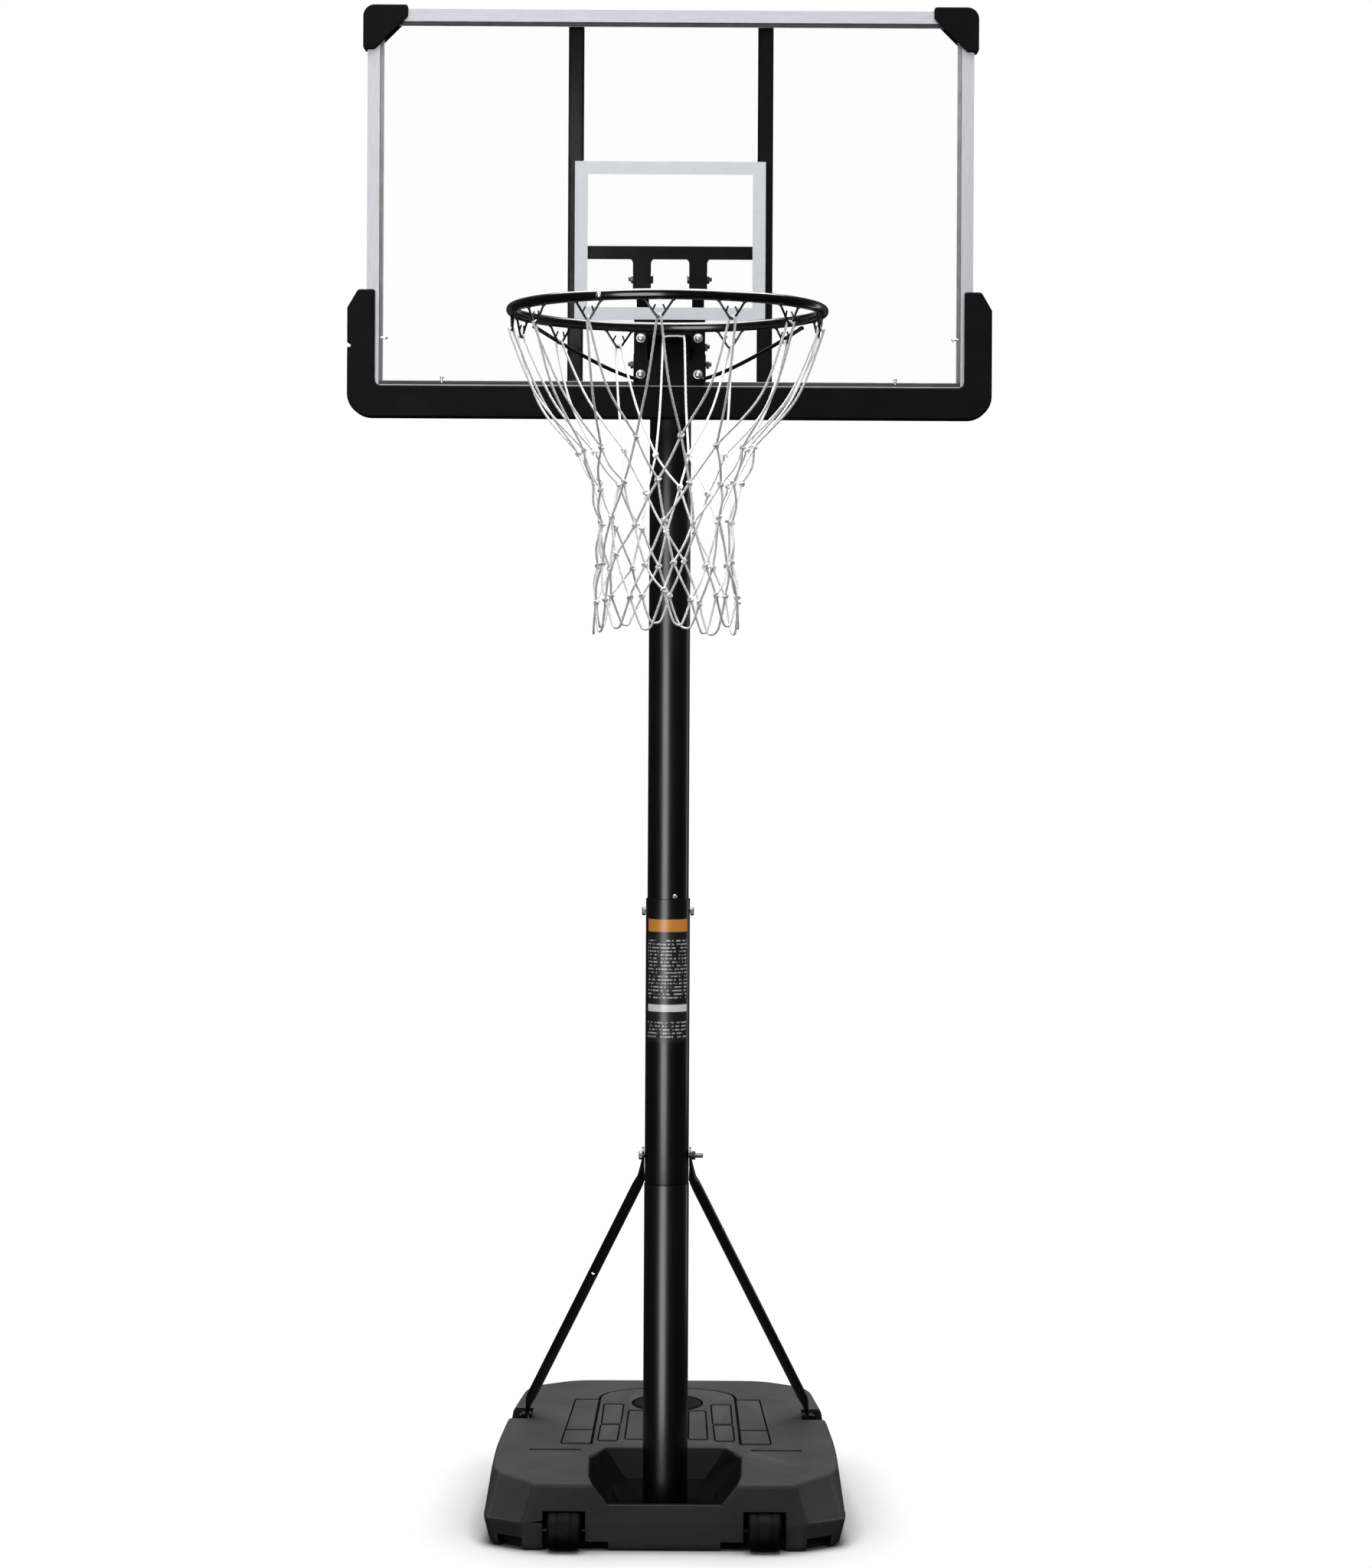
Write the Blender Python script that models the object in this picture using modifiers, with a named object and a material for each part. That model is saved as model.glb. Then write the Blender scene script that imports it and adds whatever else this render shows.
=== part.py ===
"""Portable basketball hoop: moulded ballast base on two wheels, three-piece steel pole with
two rear struts, offset arms, clear backboard in an aluminium frame, and a steel rim with a net.
Run with: blender --background --python part.py      Units: metres, +Z up, front faces -Y."""
import math
import bpy
import bmesh
from mathutils import Matrix, Vector

# ---------------------------------------------------------------- driving dimensions
RIM_R = 0.2365             # centre-line radius of the ring, for an 18 in opening
RIM_ROD = 0.008            # ring rod radius
RIM_Z = 2.020              # ring centre height at the lowest setting
RIM_Y = -0.650             # ring centre, measured from the pole axis
BASE_BACK = 0.620          # back of the base, measured from the pole axis
BASE_FRONT = -0.106        # front of the base
Y0 = ((-RIM_Y + RIM_R + RIM_ROD) - BASE_BACK) / 2.0   # world y of the pole axis
GAP = 0.0003               # running gap between touching pieces

TOP_Z0 = 0.112             # height of the base's top at its front edge
TOP_SLOPE = 0.0389         # rise of the top towards the back
BASE_MID = 0.307           # half-width at the widest line

LOWER_R, MID_R, UPPER_R = 0.0382, 0.0376, 0.0352
TUBE_T = 0.0018
POLE_FOOT_Z = 0.0125
JOINT_LOW_Z = 0.602
JOINT_UP_Z = 1.088
UPPER_FOOT_Z = 0.672
POLE_TOP_Z = 2.070

BOARD_Y = -0.270           # front plane of the frame
FRAME_HALF = 0.494
FRAME_BOT, FRAME_TOP = 1.9195, 2.5512
TRIM_HALF, TRIM_BOT, TRIM_IN_Z, TRIM_TOP = 0.525, 1.886, 1.938, 2.094
SLAB_F, SLAB_B = -0.2705, -0.2477   # slot that grips the frame
PANEL_F, PANEL_B = -0.2645, -0.2610
UPRIGHT_X, UPRIGHT_W = 0.155, 0.025
ARM_X, ARM_W, ARM_H = 0.046, 0.020, 0.026
EAR_T = 0.003
FRONT_PIN_Y = -0.212
UP_PIN_Z, UP_POLE_Z = 2.120, 2.030
LO_PIN_Z, LO_POLE_Z = 1.980, 1.930
STRUT_Z = 0.649
FOOT = (0.2550, 0.365, 0.126)       # strut foot bolt: x, y from the pole axis, z
WHEEL_X, WHEEL_Y, WHEEL_Z, WHEEL_R, WHEEL_W = 0.1685, -0.098, 0.0325, 0.0315, 0.056
LIP_Z = 0.0755             # top of the lip in front of the pole recess
WELL_Z = 0.046             # floor of the recess behind the lip
CAP_Y = 0.444
PLATE_F, PLATE_B = -0.2720, -0.2675
PLATE_Z0, PLATE_Z1, PLATE_HALF = 1.941, 2.047, 0.058
HOOKS = 13
HOOK_PITCH = 26.35
NET_TOP, NET_BOT = 1.9785, 1.527

# ---------------------------------------------------------------- scene
for ob in list(bpy.data.objects):
    bpy.data.objects.remove(ob, do_unlink=True)


def collection(name):
    c = bpy.data.collections.get(name) or bpy.data.collections.new(name)
    if c.name not in bpy.context.scene.collection.children:
        bpy.context.scene.collection.children.link(c)
    return c


PARTS = collection("portable_basketball_hoop")
CUTTERS = collection("cutters")


def material(name, rgb, rough, metal=0.0, alpha=1.0):
    m = bpy.data.materials.new(name)
    m.use_nodes = True
    b = m.node_tree.nodes["Principled BSDF"]
    b.inputs["Base Color"].default_value = (*rgb, 1.0)
    b.inputs["Roughness"].default_value = rough
    b.inputs["Metallic"].default_value = metal
    b.inputs["Alpha"].default_value = alpha
    return m


BLACK_COAT = dict(rgb=(0.010, 0.010, 0.012), rough=0.25, metal=0.3)
HDPE = dict(rgb=(0.060, 0.060, 0.064), rough=0.6)
PLASTIC = dict(rgb=(0.014, 0.014, 0.016), rough=0.6)
ALU = dict(rgb=(0.62, 0.63, 0.65), rough=0.35, metal=1.0)
ZINC = dict(rgb=(0.60, 0.60, 0.62), rough=0.3, metal=1.0)
CLEAR = dict(rgb=(0.95, 0.97, 0.98), rough=0.03, alpha=0.25)
WHITE = dict(rgb=(0.85, 0.86, 0.88), rough=0.5)
CORD = dict(rgb=(0.88, 0.88, 0.88), rough=0.8)
RUBBER = dict(rgb=(0.012, 0.012, 0.013), rough=0.7)
WATER = dict(rgb=(0.30, 0.45, 0.55), rough=0.1)


def dot(v, w):
    return v[0] * w[0] + v[1] * w[1] + v[2] * w[2]


def finish(name, me, look, smooth=None, loc=(0, 0, 0), rot=(0, 0, 0)):
    """Makes the object of a sub-part: its mesh, its own material, its place."""
    ob = bpy.data.objects.new(name, me)
    PARTS.objects.link(ob)
    me.materials.clear()
    me.materials.append(material(name, **look))
    ob.location = loc
    ob.rotation_euler = rot
    if smooth:
        me.shade_smooth()
        me.set_sharp_from_angle(angle=math.radians(smooth))
    return ob


def cutter(name, me, loc=(0, 0, 0), rot=(0, 0, 0)):
    ob = bpy.data.objects.new("cut_" + name, me)
    CUTTERS.objects.link(ob)
    ob.location = loc
    ob.rotation_euler = rot
    ob.hide_render = True
    ob.display_type = 'WIRE'
    return ob


def boolean(ob, other, op='DIFFERENCE'):
    m = ob.modifiers.new(op.lower(), 'BOOLEAN')
    m.operation = op
    m.solver = 'EXACT'
    m.object = other
    return m


def bevel(ob, width, segments=1, angle=30):
    m = ob.modifiers.new("bevel", 'BEVEL')
    m.width = width
    m.segments = segments
    m.limit_method = 'ANGLE'
    m.angle_limit = math.radians(angle)
    return m


def to_mesh(name, bm, matrix=None):
    if matrix is not None:
        bmesh.ops.transform(bm, matrix=matrix, verts=bm.verts)
    bmesh.ops.recalc_face_normals(bm, faces=bm.faces)
    me = bpy.data.meshes.new(name)
    bm.to_mesh(me)
    bm.free()
    return me


def box_mesh(name, lo, hi, matrix=None):
    bm = bmesh.new()
    bmesh.ops.create_cube(bm, size=1.0)
    size = [h - l for l, h in zip(lo, hi)]
    mid = [(h + l) / 2 for l, h in zip(lo, hi)]
    bmesh.ops.scale(bm, vec=size, verts=bm.verts)
    bmesh.ops.translate(bm, vec=mid, verts=bm.verts)
    return to_mesh(name, bm, matrix)


AXIS = {'X': Matrix.Rotation(math.radians(90), 4, 'Y'),
        'Y': Matrix.Rotation(math.radians(-90), 4, 'X'),
        'Z': Matrix.Identity(4)}


def rod_bm(bm, r, a, b, axis='Z', seg=24, at=(0, 0, 0), r2=None):
    """Adds a closed cylinder or cone from a to b along an axis through the point at."""
    m = Matrix.Translation(Vector(at)) @ AXIS[axis] @ Matrix.Translation((0, 0, (a + b) / 2))
    bmesh.ops.create_cone(bm, cap_ends=True, segments=seg, radius1=r,
                          radius2=r if r2 is None else r2, depth=b - a, matrix=m)


def rod_mesh(name, r, a, b, axis='Z', seg=24, at=(0, 0, 0), r2=None):
    bm = bmesh.new()
    rod_bm(bm, r, a, b, axis, seg, at, r2)
    return to_mesh(name, bm)


def screw_object(name, profile, look, seg=48, closed=True, axis='Z', smooth=35, loc=(0, 0, 0),
                 rot=(0, 0, 0)):
    """A turned piece: a profile of (radius, height) turned about an axis by a Screw modifier."""
    bm = bmesh.new()
    area = sum(a[0] * b[1] - b[0] * a[1] for a, b in zip(profile, profile[1:] + profile[:1]))
    if area > 0:
        profile = profile[::-1]
    vs = [bm.verts.new((r, 0.0, z)) for r, z in profile]
    for a, b in zip(vs, vs[1:]):
        bm.edges.new((a, b))
    if closed:
        bm.edges.new((vs[-1], vs[0]))
    me = bpy.data.meshes.new(name)
    bm.to_mesh(me)
    bm.free()
    ob = finish(name, me, look, loc=loc, rot=rot)
    m = ob.modifiers.new("turn", 'SCREW')
    m.axis = 'Z'
    m.angle = math.tau
    m.steps = m.render_steps = seg
    m.use_merge_vertices = True
    m.merge_threshold = 0.00005
    m.use_smooth_shade = True
    return ob


def prism_mesh(name, outline, y0, y1, plane='XZ'):
    """A straight prism of a closed outline between two depths."""
    bm = bmesh.new()

    def p(u, v, d):
        return {'XZ': (u, d, v), 'XY': (u, v, d), 'YZ': (d, u, v)}[plane]
    a = [bm.verts.new(p(u, v, y0)) for u, v in outline]
    b = [bm.verts.new(p(u, v, y1)) for u, v in outline]
    n = len(a)
    for i in range(n):
        bm.faces.new((a[i], a[(i + 1) % n], b[(i + 1) % n], b[i]))
    bm.faces.new(a)
    bm.faces.new(b)
    return to_mesh(name, bm)


def loft_mesh(name, rings, matrix=None):
    """A closed skin through rings of equal point count, capped at both ends."""
    bm = bmesh.new()
    rows = [[bm.verts.new(p) for p in ring] for ring in rings]
    n = len(rows[0])
    for r0, r1 in zip(rows, rows[1:]):
        for i in range(n):
            bm.faces.new((r0[i], r0[(i + 1) % n], r1[(i + 1) % n], r1[i]))
    bm.faces.new(rows[0])
    bm.faces.new(rows[-1])
    return to_mesh(name, bm, matrix)


def wire_mesh(name, points, r, res=2):
    """A round wire along straight runs, as a closed mesh."""
    cu = bpy.data.curves.new(name, 'CURVE')
    cu.dimensions = '3D'
    cu.bevel_depth = r
    cu.bevel_resolution = res
    cu.use_fill_caps = True
    sp = cu.splines.new('POLY')
    sp.points.add(len(points) - 1)
    for q, p in zip(sp.points, points):
        q.co = (*p, 1.0)
    tmp = bpy.data.objects.new(name + "_curve", cu)
    bpy.context.scene.collection.objects.link(tmp)
    dg = bpy.context.evaluated_depsgraph_get()
    me = bpy.data.meshes.new_from_object(tmp.evaluated_get(dg))
    bpy.data.objects.remove(tmp, do_unlink=True)
    bm = bmesh.new()
    bm.from_mesh(me)
    bmesh.ops.remove_doubles(bm, verts=bm.verts, dist=1e-6)
    bmesh.ops.recalc_face_normals(bm, faces=bm.faces)
    bm.to_mesh(me)
    bm.free()
    return me


def join_meshes(name, meshes):
    bm = bmesh.new()
    for me in meshes:
        bm.from_mesh(me)
    out = bpy.data.meshes.new(name)
    bm.to_mesh(out)
    bm.free()
    return out


def rounded_rect(w, h, r, n=1):
    pts = []
    for cx, cy, a0 in ((w / 2 - r, h / 2 - r, 0), (-w / 2 + r, h / 2 - r, 90),
                       (-w / 2 + r, -h / 2 + r, 180), (w / 2 - r, -h / 2 + r, 270)):
        for k in range(n + 1):
            a = math.radians(a0 + 90 * k / n)
            pts.append((cx + r * math.cos(a), cy + r * math.sin(a)))
    return pts


def square_tube(name, w, h, t, length, look, loc, rot=(0, 0, 0)):
    """A rounded square tube along local Z, open at both ends."""
    outer = rounded_rect(w, h, 0.003)
    inner = rounded_rect(w - 2 * t, h - 2 * t, 0.0016)
    bm = bmesh.new()
    rows = []
    for pts, z in ((outer, -length / 2), (outer, length / 2), (inner, length / 2), (inner, -length / 2)):
        rows.append([bm.verts.new((x, y, z)) for x, y in pts])
    n = len(outer)
    for k in range(4):
        r0, r1 = rows[k], rows[(k + 1) % 4]
        for i in range(n):
            bm.faces.new((r0[i], r0[(i + 1) % n], r1[(i + 1) % n], r1[i]))
    return finish(name, to_mesh(name, bm), look, smooth=35, loc=loc, rot=rot)


def bolt_mesh(name, r, a, b, head_r, head_h, axis='X', at=(0, 0, 0), hexed=True, tail=None):
    """A bolt: shank from a to b, head beyond a (towards lower values), optional nut at b."""
    bm = bmesh.new()
    seg = 12

    def hex_r(k):
        ang = math.tau * k / seg
        q = (ang % (math.pi / 3)) - math.pi / 6
        return head_r * math.cos(math.pi / 6) / math.cos(q)
    rings = []
    levels = [(a - head_h, 'h', 0.86), (a - head_h * 0.75, 'h', 1.0), (a, 'h', 1.0), (a, 's', 1.0)]
    if tail:
        levels += [(b - tail[1], 's', 1.0), (b - tail[1], 't', 1.0), (b - 0.004, 't', 1.0),
                   (b - 0.004, 's', 1.0)]
    levels += [(b - r * 0.3, 's', 1.0), (b, 's', 0.75)]
    for z, kind, k in levels:
        ring = []
        for i in range(seg):
            ang = math.tau * i / seg
            if kind == 's':
                rr = r * k
            else:
                rr = (hex_r(i) if hexed else head_r) * k
            ring.append((rr * math.cos(ang), rr * math.sin(ang), z))
        rings.append(ring)
    return loft_mesh(name, rings, Matrix.Translation(Vector(at)) @ AXIS[axis])


# ---------------------------------------------------------------- base tank
def top_z(y):
    return TOP_Z0 + TOP_SLOPE * (y - BASE_FRONT)


def tank_ring(z, half, inset=0.0, follow=False):
    """One ring of the shell from its half outline, front round to back, mirrored."""
    yf, yb = min(y for _, y in half), max(y for _, y in half)
    half = [(x - inset, min(max(y, yf + inset), yb - inset)) for x, y in half]
    ring = half + [(-x, y) for x, y in reversed(half)]
    return [(x, y + Y0, (top_z(y) + z) if follow else z) for x, y in ring]


TANK = [
    (0.0, False, [(.150, -.101), (.232, -.101), (.284, -.063), (.292, -.040), (.291, .155), (.284, .365), (.272, .530),
                  (.255, .565), (.190, .605), (.130, .606)]),
    (0.012, False, [(.150, -.105), (.236, -.105), (.293, -.068), (.300, -.040), (.299, .155), (.292, .365), (.280, .535),
                    (.262, .572), (.190, .613), (.130, .614)]),
    (0.045, False, [(.150, -.106), (.237, -.106), (.3025, -.068), (.307, -.040), (.305, .155), (.298, .365), (.287, .535),
                    (.268, .575), (.185, .619), (.130, .620)]),
    (-0.006, True, [(.150, -.1040), (.2200, -.1020), (.2835, -.0300), (.2975, .010), (.2975, .155), (.2855, .365),
                    (.266, .545), (.248, .577), (.178, .618), (.120, .6195)]),
    (0.0, True, [(.150, -.1000), (.2160, -.0975), (.2790, -.0270), (.2925, .011), (.2925, .155), (.2808, .365),
                 (.2615, .543), (.244, .573), (.176, .6135), (.120, .6150)]),
]


def tank_rings(inset, z_low, top_drop):
    return [tank_ring(z - top_drop if follow else max(z, z_low + 0.6 * z), half, inset, follow) for z, follow, half in TANK]


tank = finish("base_tank", loft_mesh("base_tank", tank_rings(0.0, 0.0, 0.0)), HDPE, smooth=25)

recess = [[(x, y + Y0, LIP_Z) for x, y in
           ((-0.089, -0.15), (0.089, -0.15), (0.100, -0.05), (0.100, 0.035), (0.068, 0.092),
            (-0.068, 0.092), (-0.100, 0.035), (-0.100, -0.05))],
          [(x, y + Y0, 0.150) for x, y in
           ((-0.132, -0.15), (0.132, -0.15), (0.143, -0.05), (0.141, 0.100), (0.118, 0.158),
            (-0.118, 0.158), (-0.141, 0.100), (-0.143, -0.05))]]
boolean(tank, cutter("recess", loft_mesh("recess", recess)))
deep = [[(x, y + Y0, WELL_Z) for x, y in
         ((-0.070, -0.080), (0.070, -0.080), (0.078, -0.050), (0.078, 0.030), (0.050, 0.070),
          (-0.050, 0.070), (-0.078, 0.030), (-0.078, -0.050))],
        [(x, y + Y0, 0.080) for x, y in
         ((-0.082, -0.086), (0.082, -0.086), (0.092, -0.052), (0.092, 0.032), (0.062, 0.084),
          (-0.062, 0.084), (-0.092, 0.032), (-0.092, -0.052))]]
boolean(tank, cutter("deep_recess", loft_mesh("deep_recess", deep)))
for s, side in ((-1, "left"), (1, "right")):
    def span(a, b):
        return (min(s * a, s * b), max(s * a, s * b))
    x0, x1 = span(WHEEL_X - 0.036, WHEEL_X + 0.036)
    well = cutter("well_" + side, box_mesh("well_" + side, (x0, Y0 - 0.20, -0.02), (x1, Y0 - 0.055, 0.0660)))
    boolean(tank, well)
    x0, x1 = span(0.094, WHEEL_X - 0.030)
    boolean(tank, cutter("foot_" + side, box_mesh("foot_" + side, (x0, Y0 - 0.20, -0.02), (x1, Y0 - 0.060, 0.015))))
    x0, x1 = span(WHEEL_X - 0.0465, WHEEL_X + 0.0465)
    boolean(tank, cutter("axle_" + side, rod_mesh("axle_" + side, 0.0054, x0, x1, 'X', 12, (0, Y0 + WHEEL_Y, WHEEL_Z))))
    x0, x1 = span(0.2440, 0.34)
    boolean(tank, cutter("pocket_" + side, box_mesh("pocket_" + side, (x0, Y0 + 0.326, 0.1020), (x1, Y0 + 0.402, 0.20))))
boolean(tank, cutter("pole_socket", rod_mesh("pole_socket", LOWER_R + 0.0006, 0.012, 0.20, 'Z', 48, (0, Y0, 0))))
under = cutter("underside", box_mesh("underside", (-0.084, Y0 - 0.088, -0.02), (0.084, Y0 + 0.124, 0.036)))
boolean(under, cutter("boss", rod_mesh("boss", 0.047, -0.03, 0.08, 'Z', 48, (0, Y0, 0))))
boolean(tank, under)
boolean(tank, cutter("cap_seat", rod_mesh("cap_seat", 0.0650, 0.1280, 0.20, 'Z', 48, (0, Y0 + CAP_Y, 0))))


def cavity(name, inset, z_low, drop, level=None):
    """The space for ballast inside the shell, kept off the recess, wells and strut pockets."""
    ob = cutter(name, loft_mesh(name, tank_rings(inset, z_low, drop)))
    g = inset - 0.005
    keep = [((-0.150 - g, -0.30, -0.1), (0.150 + g, 0.166 + g, 0.3)),
            ((-0.40, -0.30, -0.1), (0.40, -0.030 + g, 0.3)),
            ((-0.40, 0.320 - g, 0.095 - g), (-0.238 + g, 0.408 + g, 0.3)),
            ((0.238 - g, 0.320 - g, 0.095 - g), (0.40, 0.408 + g, 0.3))]
    if level is not None:
        keep.append(((-0.5, -0.5, level), (0.5, 0.9, 0.3)))
    for i, (lo, hi) in enumerate(keep):
        boolean(ob, cutter("%s_%d" % (name, i), box_mesh("%s_%d" % (name, i), (lo[0], lo[1] + Y0, lo[2]),
                                                         (hi[0], hi[1] + Y0, hi[2]))))
    return ob


boolean(tank, cavity("cavity", 0.005, 0.005, 0.005))
boolean(tank, cutter("fill_hole", rod_mesh("fill_hole", 0.0520, 0.100, 0.20, 'Z', 48, (0, Y0 + CAP_Y, 0))))

water_rings = tank_rings(0.0090, 0.0075, 0.0075)
water = finish("water_ballast", loft_mesh("water_ballast", water_rings), WATER)
for i, (lo, hi) in enumerate([((-0.1515, -0.30, -0.1), (0.1515, 0.1675, 0.3)),
                              ((-0.40, -0.30, -0.1), (0.40, -0.0285, 0.3)),
                              ((-0.5, -0.5, 0.0925), (0.5, 0.9, 0.3))]):
    boolean(water, cutter("water_%d" % i, box_mesh("water_%d" % i, (lo[0], lo[1] + Y0, lo[2]),
                                                   (hi[0], hi[1] + Y0, hi[2]))))

screw_object("fill_cap", [(0.0, 0.0110), (0.030, 0.0107), (0.050, 0.0095), (0.0600, 0.0070), (0.0632, 0.0040),
                          (0.0635, 0.0003), (0.0505, 0.0003), (0.0505, -0.0120), (0.0475, -0.0120),
                          (0.0475, -0.0020), (0.0, -0.0020)], PLASTIC, seg=32, closed=False,
             loc=(0, Y0 + CAP_Y, 0.1280))

# ---------------------------------------------------------------- wheels
for s, side in ((-1, "left"), (1, "right")):
    w = WHEEL_W / 2
    prof = [(0.0057, w - 0.004), (0.0057, -w + 0.004), (0.0100, -w + 0.002), (0.0108, -w + 0.006), (0.0215, -w + 0.006),
            (0.0222, -w), (WHEEL_R - 0.005, -w), (WHEEL_R - 0.0012, -w + 0.002), (WHEEL_R, -w + 0.006),
            (WHEEL_R, w - 0.006), (WHEEL_R - 0.0012, w - 0.002), (WHEEL_R - 0.005, w), (0.0222, w),
            (0.0215, w - 0.006), (0.0108, w - 0.006), (0.0100, w - 0.002)]
    screw_object("wheel_" + side, prof, RUBBER, seg=24,
                 loc=(s * WHEEL_X, Y0 + WHEEL_Y, WHEEL_Z), rot=(0, math.radians(90), 0))
    finish("wheel_axle_" + side, rod_mesh("wheel_axle_" + side, 0.0050, s * WHEEL_X - 0.0455, s * WHEEL_X + 0.0455, 'X', 16,
                                          (0, Y0 + WHEEL_Y, WHEEL_Z)), ZINC, smooth=40)

# ---------------------------------------------------------------- pole
def tube_profile(r, t, z0, z1):
    return [(r, z1), (r, z0), (r - t, z0), (r - t, z1)]


lower = screw_object("lower_pole", tube_profile(LOWER_R, 0.0020, POLE_FOOT_Z, JOINT_LOW_Z), BLACK_COAT, loc=(0, Y0, 0))
swage = LOWER_R - 0.0020 - 0.0004
middle = screw_object("middle_pole", [
    (MID_R, JOINT_UP_Z), (MID_R, JOINT_LOW_Z + 0.0006), (swage, JOINT_LOW_Z + 0.0006), (swage, 0.512),
    (swage - TUBE_T, 0.512), (swage - TUBE_T, JOINT_LOW_Z + 0.004), (MID_R - TUBE_T, JOINT_LOW_Z + 0.010),
    (MID_R - TUBE_T, JOINT_UP_Z)], BLACK_COAT, loc=(0, Y0, 0))
upper = screw_object("upper_pole", tube_profile(UPPER_R, TUBE_T, UPPER_FOOT_Z, POLE_TOP_Z), BLACK_COAT, loc=(0, Y0, 0))
screw_object("pole_cap", [(0.0, 0.0125), (0.020, 0.0118), (0.031, 0.0090), (0.0355, 0.0045), (0.0358, 0.0003),
                          (0.0328, 0.0003), (0.0328, -0.0180), (0.0300, -0.0180), (0.0300, -0.0020), (0.0, -0.0020)],
             PLASTIC, seg=28, closed=False, loc=(0, Y0, POLE_TOP_Z))

strut_hole = cutter("strut_hole", rod_mesh("strut_hole", 0.0046, -0.07, 0.07, 'X', 12, (0, Y0, STRUT_Z)))
boolean(middle, strut_hole)
lock_z = 1.066
boolean(middle, cutter("lock_holes", rod_mesh("lock_holes", 0.0036, -0.07, 0.07, 'X', 12, (0, Y0, lock_z))))
for s, side in ((-1, "left"), (1, "right")):
    me = bolt_mesh("lock_screw_" + side, 0.0031, 0.0, 0.0026, 0.0075, 0.0060, 'X')
    m = Matrix.Translation((s * 0.0382, Y0, lock_z)) @ Matrix.Rotation(math.pi if s > 0 else 0.0, 4, 'Z')
    me.transform(m)
    finish("lock_screw_" + side, me, ZINC, smooth=30)

BUTTON_TURN = math.radians(19.0)
button_z = JOINT_UP_Z + 0.0048


def turned(x, y, z):
    """Turns a point given for the front of the pole round to the button's side."""
    c, s = math.cos(BUTTON_TURN), math.sin(BUTTON_TURN)
    return (x * c - y * s, Y0 + x * s + y * c, z)


hole = cutter("button_hole", rod_mesh("button_hole", 0.0044, -0.045, -0.020, 'Y', 20),
              loc=(0, Y0, button_z), rot=(0, 0, BUTTON_TURN))
boolean(upper, hole)
pin = [[(r * math.cos(math.tau * i / 20), y, r * math.sin(math.tau * i / 20)) for i in range(20)]
       for r, y in ((0.0026, -0.0386), (0.0038, -0.0374), (0.0040, -0.0360), (0.0040, -0.0322), (0.0062, -0.0322),
                    (0.0062, -0.0300))]
finish("snap_button", loft_mesh("snap_button", pin), ZINC, smooth=35, loc=(0, Y0, button_z), rot=(0, 0, BUTTON_TURN))

t = 0.0008
path = [(-0.0235, 0.006), (-0.0235, -0.010), (0.0100, -0.050), (0.0300, -0.034), (0.0320, -0.020), (0.0320, 0.010)]


def ribbon(points, t):
    """Offsets a polyline to both sides into one closed outline."""
    left, right = [], []
    for i, p in enumerate(points):
        a = Vector(points[max(i - 1, 0)])
        b = Vector(points[min(i + 1, len(points) - 1)])
        d = (b - a).normalized()
        n = Vector((-d.y, d.x)) * t / 2
        left.append((p[0] + n.x, p[1] + n.y))
        right.append((p[0] - n.x, p[1] - n.y))
    return left + right[::-1]


finish("button_spring", prism_mesh("button_spring", ribbon(path, t), -0.0035, 0.0035, 'YZ'), ZINC,
       loc=(0, Y0, button_z), rot=(0, 0, BUTTON_TURN))

label_r, label_t = MID_R + GAP, 0.0004
arc = [math.radians(-59 + 118 * k / 16) for k in range(17)]
outline = [((label_r + label_t) * math.sin(a), Y0 - (label_r + label_t) * math.cos(a)) for a in arc]
outline += [(label_r * math.sin(a), Y0 - label_r * math.cos(a)) for a in reversed(arc)]
finish("height_label", prism_mesh("height_label", outline, 0.845, 1.054, 'XY'), WHITE, smooth=30)

# ---------------------------------------------------------------- struts and their feet
def strut_rings(s):
    """A tube whose two ends are pressed flat, upright, and drilled for a bolt."""
    top = Vector((s * (MID_R + 0.0026), 0.0, STRUT_Z))
    foot = Vector((s * FOOT[0], FOOT[1], FOOT[2]))
    run = (foot - top)
    a = top + Vector((s * 0.004, 0.030, -0.043))
    b = foot + Vector((-s * 0.006, -0.022, 0.032))
    d = (b - a).normalized()
    up = Vector((0, 0.57, -0.82)).normalized()
    stations = [(top - up * 0.013, up, 0.0), (top - up * 0.008, up, 0.0), (top + up * 0.012, up, 0.0),
                (a, d, 0.75), (a + d * 0.022, d, 1.0), (b - d * 0.022, d, 1.0), (b, d, 0.75),
                (foot - up * 0.012, up, 0.0), (foot + up * 0.008, up, 0.0), (foot + up * 0.013, up, 0.0)]
    rings = []
    for k, (c, t, f) in enumerate(stations):
        ax = Vector((1, 0, 0))
        u = (ax - t * ax.dot(t)).normalized()
        v = t.cross(u)
        wide = 0.0115 if 0 < k < len(stations) - 1 else 0.0065
        ring = []
        for i in range(16):
            ang = math.tau * i / 16
            ca, sa = math.cos(ang), math.sin(ang)
            flat_u = 0.0020 * max(-1.0, min(1.0, ca * 2.2))
            flat_v = wide * max(-1.0, min(1.0, sa * 1.25))
            rnd_u, rnd_v = 0.0090 * ca, 0.0090 * sa
            ring.append(c + u * (flat_u * (1 - f) + rnd_u * f) + v * (flat_v * (1 - f) + rnd_v * f)
                        + Vector((0, Y0, 0)))
        rings.append(ring)
    return rings


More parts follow.
